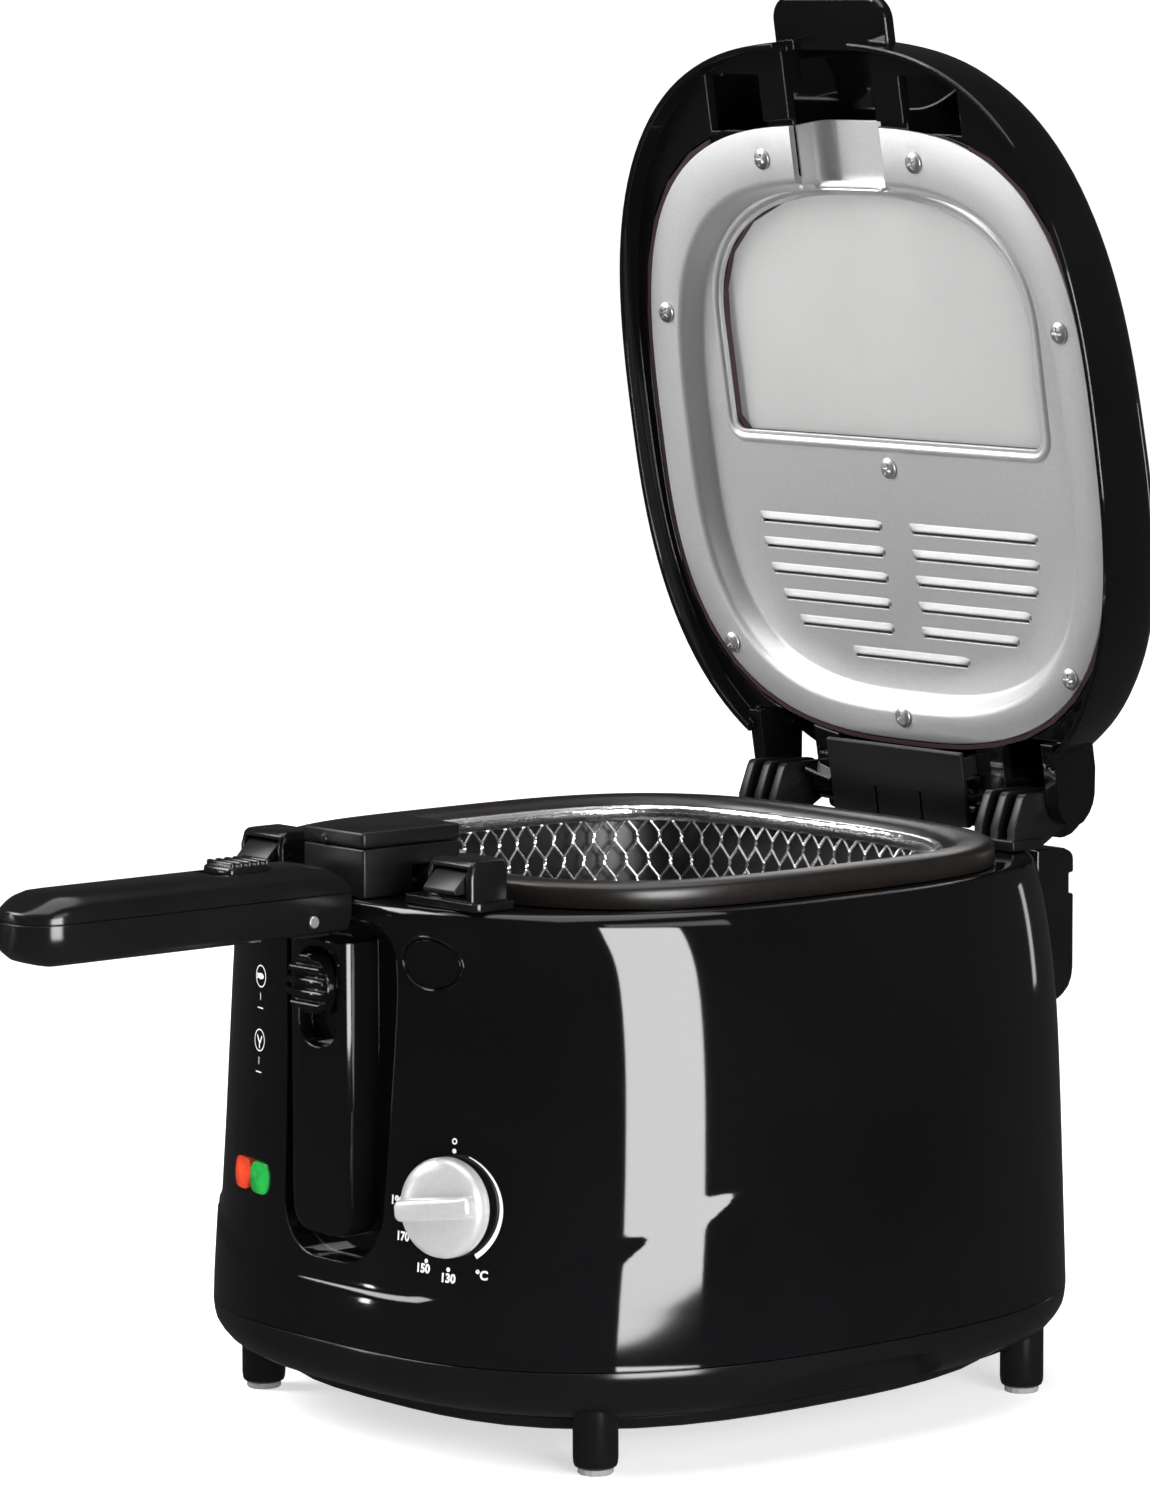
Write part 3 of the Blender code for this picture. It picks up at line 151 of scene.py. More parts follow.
BLACK = (0.0035, 0.0035, 0.004)
M = {
    "gloss": material("gloss_black", BLACK, 0.055, tone=0.3, tone_scale=9, rough_var=0.25,
                      grain=0.02, grain_scale=260, edge=0.8),
    "tray": material("tray_black", (0.005, 0.005, 0.0055), 0.16, tone=0.2, grain=0.06,
                     grain_scale=900, edge=0.8),
    "matte": material("matte_black", (0.006, 0.006, 0.0065), 0.34, tone=0.2, grain=0.2,
                      grain_scale=1500, edge=0.5, spec=0.3),
    "handle": material("handle_black", (0.006, 0.006, 0.0065), 0.17, tone=0.2, grain=0.05,
                       grain_scale=900, edge=0.7),
    "pot": material("pot_coating", (0.010, 0.0078, 0.0066), 0.34, tone=0.25, tone_scale=500,
                    grain=0.3, grain_scale=2200, coat=0.15, coat_rough=0.25),
    "panel": material("aluminium", (0.77, 0.77, 0.775), 0.40, 0.70, tone=0.035, tone_scale=900,
                      rough_var=0.12, grain=0.22, grain_scale=1500, grain_mm=0.08, edge=0.5),
    "steel": material("steel", (0.76, 0.76, 0.76), 0.38, 1.0, tone=0.08, grain=0.08, edge=0.2),
    "chrome": material("chrome_wire", (0.93, 0.93, 0.94), 0.24, 1.0, tone=0.04, tone_scale=300,
                       grain=0.2, grain_scale=500),
    "folded": material("folded_rim", (0.90, 0.90, 0.91), 0.20, 1.0, tone=0.06, tone_scale=260,
                       grain=0.55, grain_scale=330, grain_mm=0.5),
    "knob": material("silver_paint", (0.72, 0.72, 0.725), 0.32, 0.45, tone=0.03, tone_scale=600,
                     grain=0.10, grain_scale=2400, edge=0.6, coat=0.3, coat_rough=0.12),
    "rubber": material("grey_rubber", (0.26, 0.26, 0.25), 0.7, grain=0.4),
    "seal": material("seal_rubber", (0.035, 0.012, 0.018), 0.6, grain=0.3),
    "felt": material("filter_felt", (0.16, 0.16, 0.15), 0.95, grain=1.0, grain_scale=900),
    "print": material("white_print", (0.83, 0.83, 0.83), 0.5, tone=0.03, grain=0.1),
    "red": material("red_lens", (0.50, 0.035, 0.012), 0.10, tone=0.45, tone_scale=130,
                    grain=0.5, grain_scale=420, coat=1.0),
    "green": material("green_lens", (0.012, 0.26, 0.040), 0.10, tone=0.55, tone_scale=130,
                      grain=0.5, grain_scale=420, coat=1.0),
}
GLASS = material("window_glass", (0.60, 0.60, 0.595), 0.16, tone=0.05, tone_scale=14, grain=0.03,
                 coat=1.0, coat_rough=0.02)
shader_of(GLASS).inputs["Transmission Weight"].default_value = 0.45
shader_of(GLASS).inputs["IOR"].default_value = 1.12
M["glass"] = GLASS

FINISH = {
    "matte": ("bottom_plate", "hinge_pin", "thermal_cutout", "lamp_holder", "terminal_block", "cord_gland",
              "latch_bar", "latch_wedge_left", "latch_wedge_right", "filter_cover", "hinge_flap"),
    "steel": ("heating_element", "heat_shield", "thermostat", "lid_spring",
              "latch_spring", "catch_spring", "thumb_spring", "knob_shaft", "pivot_pin",
              "basket_hanger"),
    "rubber": ("foot_front_left", "foot_front_right", "foot_rear_left", "foot_rear_right"),
    "seal": ("panel_seal", "window_gasket"),
    "felt": ("grease_filter",),
}
for finish, names in FINISH.items():
    for name in names:
        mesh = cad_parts[name].data
        mesh.materials.clear()
        mesh.materials.append(M[finish])


# --- mesh helpers

def in_scene(name, data):
    item = bpy.data.objects.new(name, data)
    bpy.context.scene.collection.objects.link(item)
    return item


def object_of(name, bm):
    bmesh.ops.recalc_face_normals(bm, faces=bm.faces)
    mesh = bpy.data.meshes.new(name)
    bm.to_mesh(mesh)
    bm.free()
    return in_scene(name, mesh)


def bake(item):
    """Replace an object's mesh with its evaluated one and drop its tools."""
    bpy.context.view_layer.update()
    graph = bpy.context.evaluated_depsgraph_get()
    mesh = bpy.data.meshes.new_from_object(item.evaluated_get(graph))
    tools = [step.object for step in item.modifiers if step.type == "BOOLEAN"]
    item.modifiers.clear()
    item.data = mesh
    for tool in tools:
        bpy.data.objects.remove(tool, do_unlink=True)
    return item


def boolean(item, operation, bm):
    tool = bm if isinstance(bm, bpy.types.Object) else object_of("tool", bm)
    step = item.modifiers.new("step", "BOOLEAN")
    step.operation = operation
    step.solver = "EXACT"
    step.object = tool


def cut(item, bm):
    boolean(item, "DIFFERENCE", bm)


def join(item, bm):
    boolean(item, "UNION", bm)


def place(item, finish, body, nodes=(), lid=False, angle=32.0, bevel=0.0, slot=None):
    """Bake, carry to the world, shade, ride and stand for its CAD nodes."""
    if bevel > 0.0:
        step = item.modifiers.new("edge", "BEVEL")
        step.width = bevel
        step.segments = 3
        step.limit_method = "ANGLE"
        step.angle_limit = radians(38)
        step.use_clamp_overlap = True
    bake(item)
    mesh = item.data
    mesh.transform(TO_WORLD @ LID_TURN if lid else TO_WORLD)
    mesh.materials.clear()
    mesh.materials.append(M[finish])
    mesh.shade_smooth()
    mesh.set_sharp_from_angle(angle=radians(angle))
    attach(item, body)
    for node in nodes:
        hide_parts(node)
    return item


def merged(*meshes):
    whole = bmesh.new()
    for bm in meshes:
        spare = bpy.data.meshes.new("spare")
        bm.to_mesh(spare)
        bm.free()
        whole.from_mesh(spare)
        bpy.data.meshes.remove(spare)
    return whole


def box(x0, x1, y0, y1, z0, z1, bevel=0.0, steps=3):
    bm = bmesh.new()
    bmesh.ops.create_cube(bm, size=1.0)
    bmesh.ops.scale(bm, verts=bm.verts, vec=(x1 - x0, y1 - y0, z1 - z0))
    bmesh.ops.translate(bm, verts=bm.verts,
                        vec=((x0 + x1) / 2, (y0 + y1) / 2, (z0 + z1) / 2))
    if bevel > 0.0:
        bmesh.ops.bevel(bm, geom=bm.edges[:], offset=bevel, segments=steps,
                        profile=0.5, affect="EDGES", clamp_overlap=True)
    return bm


def prism(outline, axis, low, high):
    bm = bmesh.new()
    put = {"X": lambda p, h: (h, p[0], p[1]), "Y": lambda p, h: (p[0], h, p[1]),
           "Z": lambda p, h: (p[0], p[1], h)}[axis]
    lower = [bm.verts.new(put(p, low)) for p in outline]
    upper = [bm.verts.new(put(p, high)) for p in outline]
    bm.faces.new(lower)
    bm.faces.new(upper)
    for i in range(len(outline)):
        j = (i + 1) % len(outline)
        bm.faces.new((lower[i], lower[j], upper[j], upper[i]))
    return bm


def loft(rings, closed=False, caps=True):
    bm = bmesh.new()
    rows = [[bm.verts.new(p) for p in ring] for ring in rings]
    count = len(rings[0])
    for k in range(len(rows) if closed else len(rows) - 1):
        low, high = rows[k], rows[(k + 1) % len(rows)]
        for i in range(count):
            j = (i + 1) % count
            bm.faces.new((low[i], low[j], high[j], high[i]))
    if not closed and caps:
        bm.faces.new(rows[0])
        bm.faces.new(rows[-1])
    return bm


def ellipse(cx, cy, rx, ry, count=64):
    return [(cx + rx * cos(2 * pi * i / count),
             cy + ry * sin(2 * pi * i / count)) for i in range(count)]


def circle(cx, cy, radius, count=40):
    return ellipse(cx, cy, radius, radius, count)


def arc(cx, cy, radius, first, sweep, parts):
    turns = [radians(first + sweep * i / parts) for i in range(parts + 1)]
    return [(cx + radius * cos(a), cy + radius * sin(a)) for a in turns]


def span(side, near, far):
    """Low and high X of something between two distances from the middle, on one side of it."""
    return sorted((side * near, side * far))


def squareness(c, s, power):
    """Factor that takes a point of the unit circle out to a superellipse of that power."""
    return (abs(c) ** power + abs(s) ** power) ** (-1.0 / power)


def rounded_rect(x0, x1, y0, y1, radius, steps=8):
    points = []
    for cx, cy, first in ((x1 - radius, y1 - radius, 0.0), (x0 + radius, y1 - radius, 90.0),
                          (x0 + radius, y0 + radius, 180.0), (x1 - radius, y0 + radius, 270.0)):
        points += arc(cx, cy, radius, first, 90.0, steps)
    return points


def oval(half, front, rear, front_power, rear_power, centre_y, z, count=RING_POINTS):
    ring = []
    for i in range(count):
        turn = 2.0 * pi * i / count
        c, s = cos(turn), sin(turn)
        reach = squareness(c, s, rear_power if s >= 0.0 else front_power)
        ring.append((half * c * reach, centre_y + (rear if s >= 0.0 else front) * s * reach, z))
    return ring


def lathe(profile, count=64):
    return loft([[(x, y, z) for x, y in circle(0.0, 0.0, r, count)] for r, z in profile])


def turn_to(bm, spot, direction):
    spin = Vector((0.0, 0.0, 1.0)).rotation_difference(Vector(direction))
    bmesh.ops.rotate(bm, verts=bm.verts, cent=(0.0, 0.0, 0.0), matrix=spin.to_matrix())
    bmesh.ops.translate(bm, verts=bm.verts, vec=spot)
    return bm


def smoothstep(value, low, high):
    t = max(0.0, min(1.0, (value - low) / (high - low)))
    return t * t * (3.0 - 2.0 * t)


def curve_value(value, xs, ys):
    """Smooth curve through a short table of heights and depths."""
    if value <= xs[0]:
        return ys[0]
    for i in range(1, len(xs)):
        if value <= xs[i]:
            span = xs[i] - xs[i - 1]
            t = (value - xs[i - 1]) / span
            before = (ys[i] - ys[i - 1]) / span
            a = before if i == 1 else (ys[i] - ys[i - 2]) / (xs[i] - xs[i - 2])
            b = before if i == len(xs) - 1 else (ys[i + 1] - ys[i - 1]) / (xs[i + 1] - xs[i - 1])
            t2, t3 = t * t, t * t * t
            return ((2 * t3 - 3 * t2 + 1) * ys[i - 1] + (t3 - 2 * t2 + t) * span * a
                    + (-2 * t3 + 3 * t2) * ys[i] + (t3 - t2) * span * b)
    return ys[-1]


# --- housing

FRONT_HEIGHTS = (38.6, 60.0, 97.0, 120.0, 150.0, 175.0, 184.0, 191.0, 196.0)
FRONT_DEPTHS = (-146.0, -143.0, -140.0, -138.6, -137.2, -137.0, -138.6, -141.6, -142.0)
CREASE_TURNS = (0.0, 20.0, 38.0, 62.0, 84.0, 100.0)
CREASE_HEIGHTS = (60.0, 61.5, 73.5, 99.0, 122.0, 136.0)


def side_inset(z):
    height = max(0.0, z - 38.6)
    return 0.030 * height + 7.0 * (height / 157.0) ** 6


def crease_push(x, y, z):
    """Outward step below the styling line that climbs from the front to the sides."""
    turn = degrees(atan2(abs(x), -(y - 2.6)))
    line = curve_value(turn, CREASE_TURNS, CREASE_HEIGHTS)
    fade = 1.0 - smoothstep(turn, 62.0, 100.0)
    rise = smoothstep(line - z, 0.0, 3.4)
    fall = 1.0 - max(0.0, min(1.0, (line - z - 5.0) / max(11.0, line - 45.0))) ** 2
    return 1.25 * fade * rise * fall


def body_ring(z, inset=0.0, edge=0.0, crease=True):
    draw = side_inset(z) + edge
    front_y = curve_value(z, FRONT_HEIGHTS, FRONT_DEPTHS) + edge
    ring = oval(133.0 - draw - inset, 2.6 - front_y - inset, 157.0 - draw - inset, 2.8, 2.45,
                2.6, z)
    if not crease:
        return ring
    out = []
    for x, y, h in ring:
        push = crease_push(x, y, h)
        reach = hypot(x, y - 2.6)
        out.append((x * (1 + push / reach), 2.6 + (y - 2.6) * (1 + push / reach), h))
    return out


def wall_y(x, z):
    half = 133.0 - side_inset(z)
    depth = 2.6 - curve_value(z, FRONT_HEIGHTS, FRONT_DEPTHS)
    return 2.6 - depth * (1.0 - (abs(x) / half) ** 2.8) ** (1.0 / 2.8)


def wall_point(x, z):
    slope_x = (wall_y(x + 4.0, z) - wall_y(x - 4.0, z)) / 8.0
    slope_z = (wall_y(x, z + 12.0) - wall_y(x, z - 12.0)) / 24.0
    return Vector((x, wall_y(x, z), z)), Vector((slope_x, -1.0, slope_z)).normalized()


def wall_heights():
    low = [38.7] + [40.0 + 1.25 * k for k in range(56)] + [110.0 + 2.0 * k for k in range(15)]
    return low + [140.0 + 3.0 * k for k in range(0, 17)]


def body_fill(inset, step=1):
    rings = [body_ring(z, inset) for z in wall_heights()[::step]]
    rings.append(body_ring(193.5, inset + 0.5))
    return loft(rings)


def recess_outline(margin=0.0):
    half = 30.0 + margin
    points = []
    for cx, first in ((-half + 22.0, 180.0), (half - 22.0, 270.0)):
        points += arc(cx, 87.0 - margin, 20.0, first, 90.0, 12)
    points += [(half + 1.4, 165.0), (half + 1.0, 178.0), (half - 0.8, 184.0 + margin),
               (half - 4.4, 186.5 + margin), (-half + 4.4, 186.5 + margin),
               (-half + 0.8, 184.0 + margin), (-half - 1.0, 178.0), (-half - 1.4, 165.0)]
    return points


rings = [body_ring(z) for z in wall_heights()]
for z, edge in ((191.0, 0.0), (193.0, 0.25), (194.3, 0.75), (195.1, 1.4), (195.6, 2.2), (195.8, 3.1)):
    rings.append(body_ring(z, edge))
for half, front, rear, z in ((108.6, 104.6, 107.6, 195.8), (108.0, 104.0, 107.0, 195.2),
                             (108.0, 104.0, 107.0, 190.0), (109.8, 105.8, 108.8, 190.0),
                             (109.8, 105.8, 108.8, 193.6)):
    rings.append(oval(half, front, rear, 3.4, 3.4, -2.0, z))
rings.append(body_ring(193.6, 4.6, crease=False))
for z in (186.0, 172.0, 150.0, 130.0, 100.0, 80.0, 60.0, 38.7):
    rings.append(body_ring(z, 2.2, crease=False))
housing = object_of("housing_shell", loft(rings, closed=True))
backing = object_of("backing", prism(recess_outline(2.2), "Y", -165.0, -129.6))
boolean(backing, "INTERSECT", body_fill(1.0, 4))
bake(backing)
join(housing, backing)
cut(housing, prism(recess_outline(), "Y", -170.0, -132.0))


def column_shape():
    """Tongue that stands in the recess, with its lower end drawn in and rounded."""
    rows = []
    for y, inset in ((-131.0, 0.0), (-143.6, 0.0), (-145.2, 0.4), (-146.2, 1.2), (-146.6, 2.6)):
        half, centre = 16.25 - inset, 85.0 + inset
        outline = arc(-half + 9.0, centre, 9.0, 180.0, 90.0, 8)
        outline += arc(half - 9.0, centre, 9.0, 270.0, 90.0, 8) + [(half, 181.0), (-half, 181.0)]
        rows.append([(x, y, z) for x, z in outline])
    return loft(rows)


join(housing, column_shape())
cut(housing, prism(rounded_rect(-10.8, 10.8, 143.0, 178.6, 9.0), "Y", -160.0, -140.6))
spot, out = wall_point(*DIAL)
for tool in (turn_to(lathe(((4.2, -12.0), (4.2, 12.0)), 32), spot, out),
             prism(ellipse(*RELEASE, 12.65, 8.85), "Y", -150.0, -124.0),
             prism(rounded_rect(-66.4, -38.6, 83.2, 95.0, 5.0), "Y", -150.0, -120.0),
             box(46.6, 54.4, -123.2, -115.6, 185.0, 200.0),
             box(-54.4, -46.6, -123.2, -115.6, 185.0, 200.0),
             prism(circle(0.0, 60.0, 6.6), "Y", 145.0, 170.0)):
    cut(housing, tool)
place(housing, "gloss", "body", ["housing"], slot="gloss_black")

lip = []
for dx, dy in ((0.0, 0.1), (0.15, -0.28), (0.5, -0.45), (0.9, -0.28), (1.1, 0.1), (0.55, 0.5)):
    lip.append([(x, wall_y(x, z) + dy, z) for x, z in ellipse(*RELEASE, 12.75 + dx, 8.95 + dx, 96)])
ring = object_of("release_ring", loft(lip, closed=True))
place(ring, "gloss", "body", angle=60, slot="gloss_black")

for name, low, high, hue, level in (("red", -66.1, -52.7, (1.0, 0.10, 0.015), 0.50),
                                    ("green", -52.3, -38.9, (0.02, 0.75, 0.11), 0.34)):
    lens = object_of("pilot_" + name, prism(rounded_rect(low, high, 83.5, 94.7, 4.2), "Y", -150.0, -124.0))
    boolean(lens, "INTERSECT", body_fill(-0.5, 2))
    middle = (low + high) / 2
    core = Vector((middle + 1.0, wall_y(middle, 89.1) + 1.0, 89.6))
    core_glow(M[name], TO_WORLD @ core, (0.0085, 0.011, 0.0072), hue, level)
    place(lens, name, "body", ["lens_" + name], angle=40, bevel=1.1, slot=name + "_lens")

button = object_of("lid_release_cap", prism(ellipse(*RELEASE, 12.2, 8.4), "Y", -150.0, -124.0))
boolean(button, "INTERSECT", body_fill(0.2, 2))
place(button, "gloss", "lid_release", ["release_button"], slot="gloss_black")


# --- base

def tray_ring(inset, z):
    return oval(133.0 - inset, 148.6 - inset, 157.0 - inset, 2.8, 2.45, 2.6, z)


TRAY = ((0.2, 38.3), (0.0, 37.6), (0.4, 33.5), (0.9, 31.3), (1.7, 29.6), (3.0, 27.5), (5.0, 25.0),
        (7.6, 22.9), (11.0, 21.0), (15.0, 19.4), (20.0, 18.2), (28.5, 17.4), (28.5, 20.0),
        (20.5, 20.8), (12.5, 23.6), (7.2, 27.2), (4.0, 31.8), (2.6, 38.3))
tray = object_of("base_shell", loft([tray_ring(i, z) for i, z in TRAY], closed=True))


ARCH_MIDDLE = -16.0


def grip_arch(side, grow, inner):
    """Hollow under the side wall that fingers reach into; its top is arched front to rear."""
    heights = (-70.0, -66.0, -58.0, -46.0, -30.0, -8.0, 16.0, 28.0, 34.0, 37.5, 38.5)
    tops = (8.0, 18.0, 24.4, 29.0, 31.4, 32.2, 31.8, 29.6, 25.6, 18.0, 8.0)
    arch = []
    for first, last, parts in ((0, 1, 4), (1, 8, 42), (8, 9, 6), (9, 10, 4)):
        for k in range(parts):
            y = heights[first] + (heights[last] - heights[first]) * k / parts
            arch.append((y, curve_value(y, heights, tops)))
    arch.append((38.5, 8.0))
    rings = []
    for x, draw in ((inner, 4.0), (inner + 1.0, 2.2), (inner + 3.5, 1.0), (126.0, 0.3), (145.0, 0.0)):
        ring = []
        for y, z in arch:
            push = (grow - draw) * (-1.0 if y < ARCH_MIDDLE else 1.0)
            ring.append((side * x, y + push * smoothstep(abs(y - ARCH_MIDDLE), 0.0, 24.0),
                         z + (grow - 0.4 * draw if z > 10.0 else 0.0)))
        rings.append(ring)
    return loft(rings)


liner = object_of("liner", merged(*[grip_arch(side, 2.2, 111.3) for side in (-1.0, 1.0)]))
boolean(liner, "INTERSECT", loft([tray_ring(i + 0.9, z) for i, z in TRAY[:12]]))
bake(liner)
join(tray, liner)
cut(tray, merged(*[grip_arch(side, 0.0, 113.5) for side in (-1.0, 1.0)]))
legs = []
for x, y in ((-94.4, -99.7), (94.4, -99.7), (-94.4, 104.9), (94.4, 104.9)):
    legs.append(loft([[(px, py, z) for px, py in circle(x, y, r, 32)] for r, z in
                      ((6.6, 2.4), (7.4, 2.9), (7.8, 4.0), (8.0, 6.0), (8.0, 30.0))]))
join(tray, merged(*legs))
place(tray, "tray", "body", ["base_tray"], slot="matte_black")

# --- pot

POT = ((30.0, 66.0), (26.0, 66.2), (22.0, 67.5), (19.6, 69.4), (18.0, 72.0), (17.3, 75.5), (17.0, 80.0),
       (15.3, 140.0), (13.5, 199.0), (13.0, 201.0), (12.2, 202.6), (11.0, 203.8), (9.4, 204.8), (7.6, 205.2),
       (5.6, 205.35), (3.6, 205.2), (2.0, 204.8), (0.8, 204.0), (0.2, 203.0), (0.0, 201.8), (0.0, 196.6),
       (0.4, 196.2), (1.5, 196.2), (1.8, 196.6), (1.8, 201.2), (3.2, 203.0), (6.0, 203.5), (9.0, 202.8),
       (10.8, 201.0), (11.8, 198.0), (13.6, 140.0), (15.2, 80.0), (16.2, 71.0), (21.0, 65.2), (30.0, 64.0))
pot = object_of("pot_body", loft([oval(115.0 - d, 111.0 - d, 114.0 - d, 3.4, 3.4, -2.0, z) for d, z in POT]))
marks = []
for z in (118.0, 146.0):
    marks.append(box(-32.0, 32.0, 112.0 - 17.4, 112.0 - 13.0, z, z + 1.0, 0.3))
place(pot, "pot", "body", ["pot"], angle=50, slot="pot_coating")
level = object_of("pot_level_marks", merged(*marks))
place(level, "pot", "body", slot="pot_coating")


# --- basket of wire mesh

def basket_at(turn, depth):
    """Point of the basket wall: turn 0..1 round it, depth in mm below the rim."""
    t = depth / 80.0
    if t <= 1.0:
        inset, z = 1.0 + 4.6 * t, 198.6 - 80.0 * t
    else:
        run = depth - 80.0
        inset, z = 5.6 + min(run, 90.0), 118.6 - 4.2 * smoothstep(run, 0.0, 7.0)
    angle = 2.0 * pi * turn
    c, s = cos(angle), sin(angle)
    reach = squareness(c, s, 3.4)
    deep = 94.0 if s >= 0.0 else 91.5
    return Vector(((98.0 - inset) * c * reach, 0.5 + (deep - inset) * s * reach, z))


def even_turns(count):
    """Parameters that walk the rim in equal steps."""
    fine = [basket_at(i / 2880.0, 0.0) for i in range(2881)]
    total = [0.0]
    for i in range(2880):
        total.append(total[-1] + (fine[i + 1] - fine[i]).length)
    turns, k = [], 0
    for j in range(count + 1):
        want = total[-1] * j / count
        while k < 2879 and total[k + 1] < want:
            k += 1
        turns.append((k + (want - total[k]) / max(1e-9, total[k + 1] - total[k])) / 2880.0)
    return turns


def wire(bm, path, radius, sides=6):
    rows = []
    for i, p in enumerate(path):
        ahead = (path[min(i + 1, len(path) - 1)] - path[max(i - 1, 0)]).normalized()
        across = ahead.cross(Vector((0.31, 0.17, 0.93))).normalized()
        up = ahead.cross(across)
        rows.append([bm.verts.new(p + across * radius * cos(2 * pi * k / sides)
                                  + up * radius * sin(2 * pi * k / sides))
                     for k in range(sides)])
    for low, high in zip(rows, rows[1:]):
        for k in range(sides):
            j = (k + 1) % sides
            bm.faces.new((low[k], low[j], high[j], high[k]))
    bm.faces.new(rows[0])
    bm.faces.new(rows[-1])


def hex_mesh():
    bm = bmesh.new()
    cells, pitch, slant = 76, 8.6, 5.2
    turns = even_turns(cells * 2)

    def spot(column, depth):
        return basket_at(turns[column % (cells * 2)], depth)

    for row in range(9):
        top = 1.2 + row * pitch
        shift = row % 2
        for cell in range(cells):
            left = 2 * cell + shift
            peak = spot(left, top)
            lower_left = spot(left - 1, top + slant)
            lower_right = spot(left + 1, top + slant)
            for end in (lower_left, lower_right):
                wire(bm, [peak, (peak + end) / 2, end], 0.55, 5)
            next_peak = spot(left + 1, top + pitch)
            side = (spot(left + 2, top + slant) - spot(left, top + slant)).normalized()
            for hand in (-1.0, 1.0):
                twist = []
                for k in range(5):
                    t = k / 4.0
                    middle = lower_right.lerp(next_peak, t)
                    twist.append(middle + side * hand * 0.45 * cos(pi * t * 2.0))
                wire(bm, twist, 0.50, 5)
    for k in range(17):
        x = -80.0 + 10.0 * k
        reach = 82.0 * (1.0 - (abs(x) / 88.6) ** 3.4) ** (1.0 / 3.4)
        for hand in (-1.0, 1.0):
            line = []
            for i in range(35):
                y = -reach + 2.0 * reach * i / 34
                wave = 2.6 * asin(sin(y * pi / 10.4 + k * pi)) / 1.5708
                line.append(Vector((x + hand * (2.5 + wave), 0.5 + y, 114.8)))
            wire(bm, line, 0.5, 5)
    return bm


mesh_cup = object_of("basket_mesh", hex_mesh())
place(mesh_cup, "chrome", "frying_basket", ["basket"], angle=60, slot="wire")
band = []
for inset, z in ((-0.7, 196.8), (-1.1, 197.8), (-1.2, 199.8), (-0.9, 201.6), (-0.1, 202.5), (1.0, 202.7),
                 (1.9, 202.2), (2.5, 201.0), (2.6, 199.2), (2.1, 197.0), (1.3, 196.5), (0.2, 196.6)):
    band.append(oval(98.0 - inset, 91.5 - inset, 94.0 - inset, 3.4, 3.4, 0.5, z, 300))
for k, row in enumerate(band):
    for i, (x, y, z) in enumerate(row):
        crimp = 0.20 * sin(i * 2.1 + k) + 0.14 * sin(i * 0.83 + 2.0 * k)
        row[i] = (x * (1 - abs(crimp) / 98.0), y, min(202.7, z + 0.10 * sin(i * 1.3 + k)))
rim = object_of("basket_folded_rim", loft(band, closed=True))
place(rim, "folded", "frying_basket", ["basket_rim"], angle=60, slot="wire")


# --- latch towers, bracket, hinge

for label, side in (("left", -1.0), ("right", 1.0)):
    plan = [(side * x, y) for x, y in rounded_rect(29.5, 70.0, -132.0, -113.4, 3.0)]
    tower = object_of("tower_" + label, prism(plan, "Z", DECK, 199.0))
    low, high = span(side, 41.0, 65.5)
    hood = loft([[(x, y, z) for x, y in
                  rounded_rect(low + d, high - d, -130.5 + e, -113.6 - 0.3 * e, 1.4, 4)]
                 for d, e, z in ((0.0, 0.0, 197.0), (0.0, 0.0, 207.0), (0.6, 1.0, 211.6), (1.2, 2.0, 212.7),
                                 (2.0, 3.0, 213.0))])
    join(tower, hood)
    cut(tower, box(low + 1.6, high - 1.6, -128.6, -115.2, 190.0, 211.2))
    cut(tower, box(low + 2.6, high - 2.6, -140.0, -120.0, 200.4, 210.4))
    place(tower, "handle", "body", ["latch_tower_" + label], angle=30, bevel=0.35, slot="matte_black")
    low, high = span(side, 44.6, 61.9)
    ramp = [(-122.8, 209.3), (-128.4, 209.3), (-129.4, 208.7), (-134.5, 203.6), (-134.8, 203.0),
            (-134.8, 201.9), (-134.3, 201.6), (-122.8, 201.6)]
    wedge = object_of("wedge_" + label, prism(ramp, "X", low, high))
    place(wedge, "matte", "lid_release", ["latch_wedge_" + label], angle=30, bevel=0.3, slot="matte_black")

arm = [(-138.0, 199.0), (-146.0, 196.5), (-160.7, 196.5)]
arm += arc(*PIVOT, 6.5, 105.0, 165.0, 11)
arm += [(-149.0, 183.5), (-144.0, 187.0), (-143.0, 196.3), (-138.0, 196.3)]
bracket = object_of("bracket_box", box(-17.0, 17.0, -139.0, -95.6, 206.2, 213.4, 0.8))
for tool in (box(-17.0, 17.0, -139.0, -117.0, DECK, 208.0, 0.8),
             box(-14.0, 14.0, -97.4, -95.7, 171.0, 208.0), prism(arm, "X", -9.2, 9.2)):
    join(bracket, tool)
for tool in (prism(circle(*PIVOT, 2.5), "X", -20.0, 20.0), box(-11.8, 11.8, -136.0, -116.9, 180.0, 210.4)):
    cut(bracket, tool)
place(bracket, "matte", "body", ["bracket"], slot="matte_black")
cap = object_of("bracket_lid", box(-17.0, 17.0, -139.2, -95.4, 213.75, 219.4, 1.1))
nub = loft([[(-5.0 + r * cos(2 * pi * k / 24), y, 215.4 + r * sin(2 * pi * k / 24))
             for k in range(24)] for r, y in ((1.9, -137.0), (1.9, -139.4), (1.5, -140.1), (0.6, -140.4))])
join(cap, nub)
place(cap, "matte", "body", ["bracket_cap"], slot="matte_black")

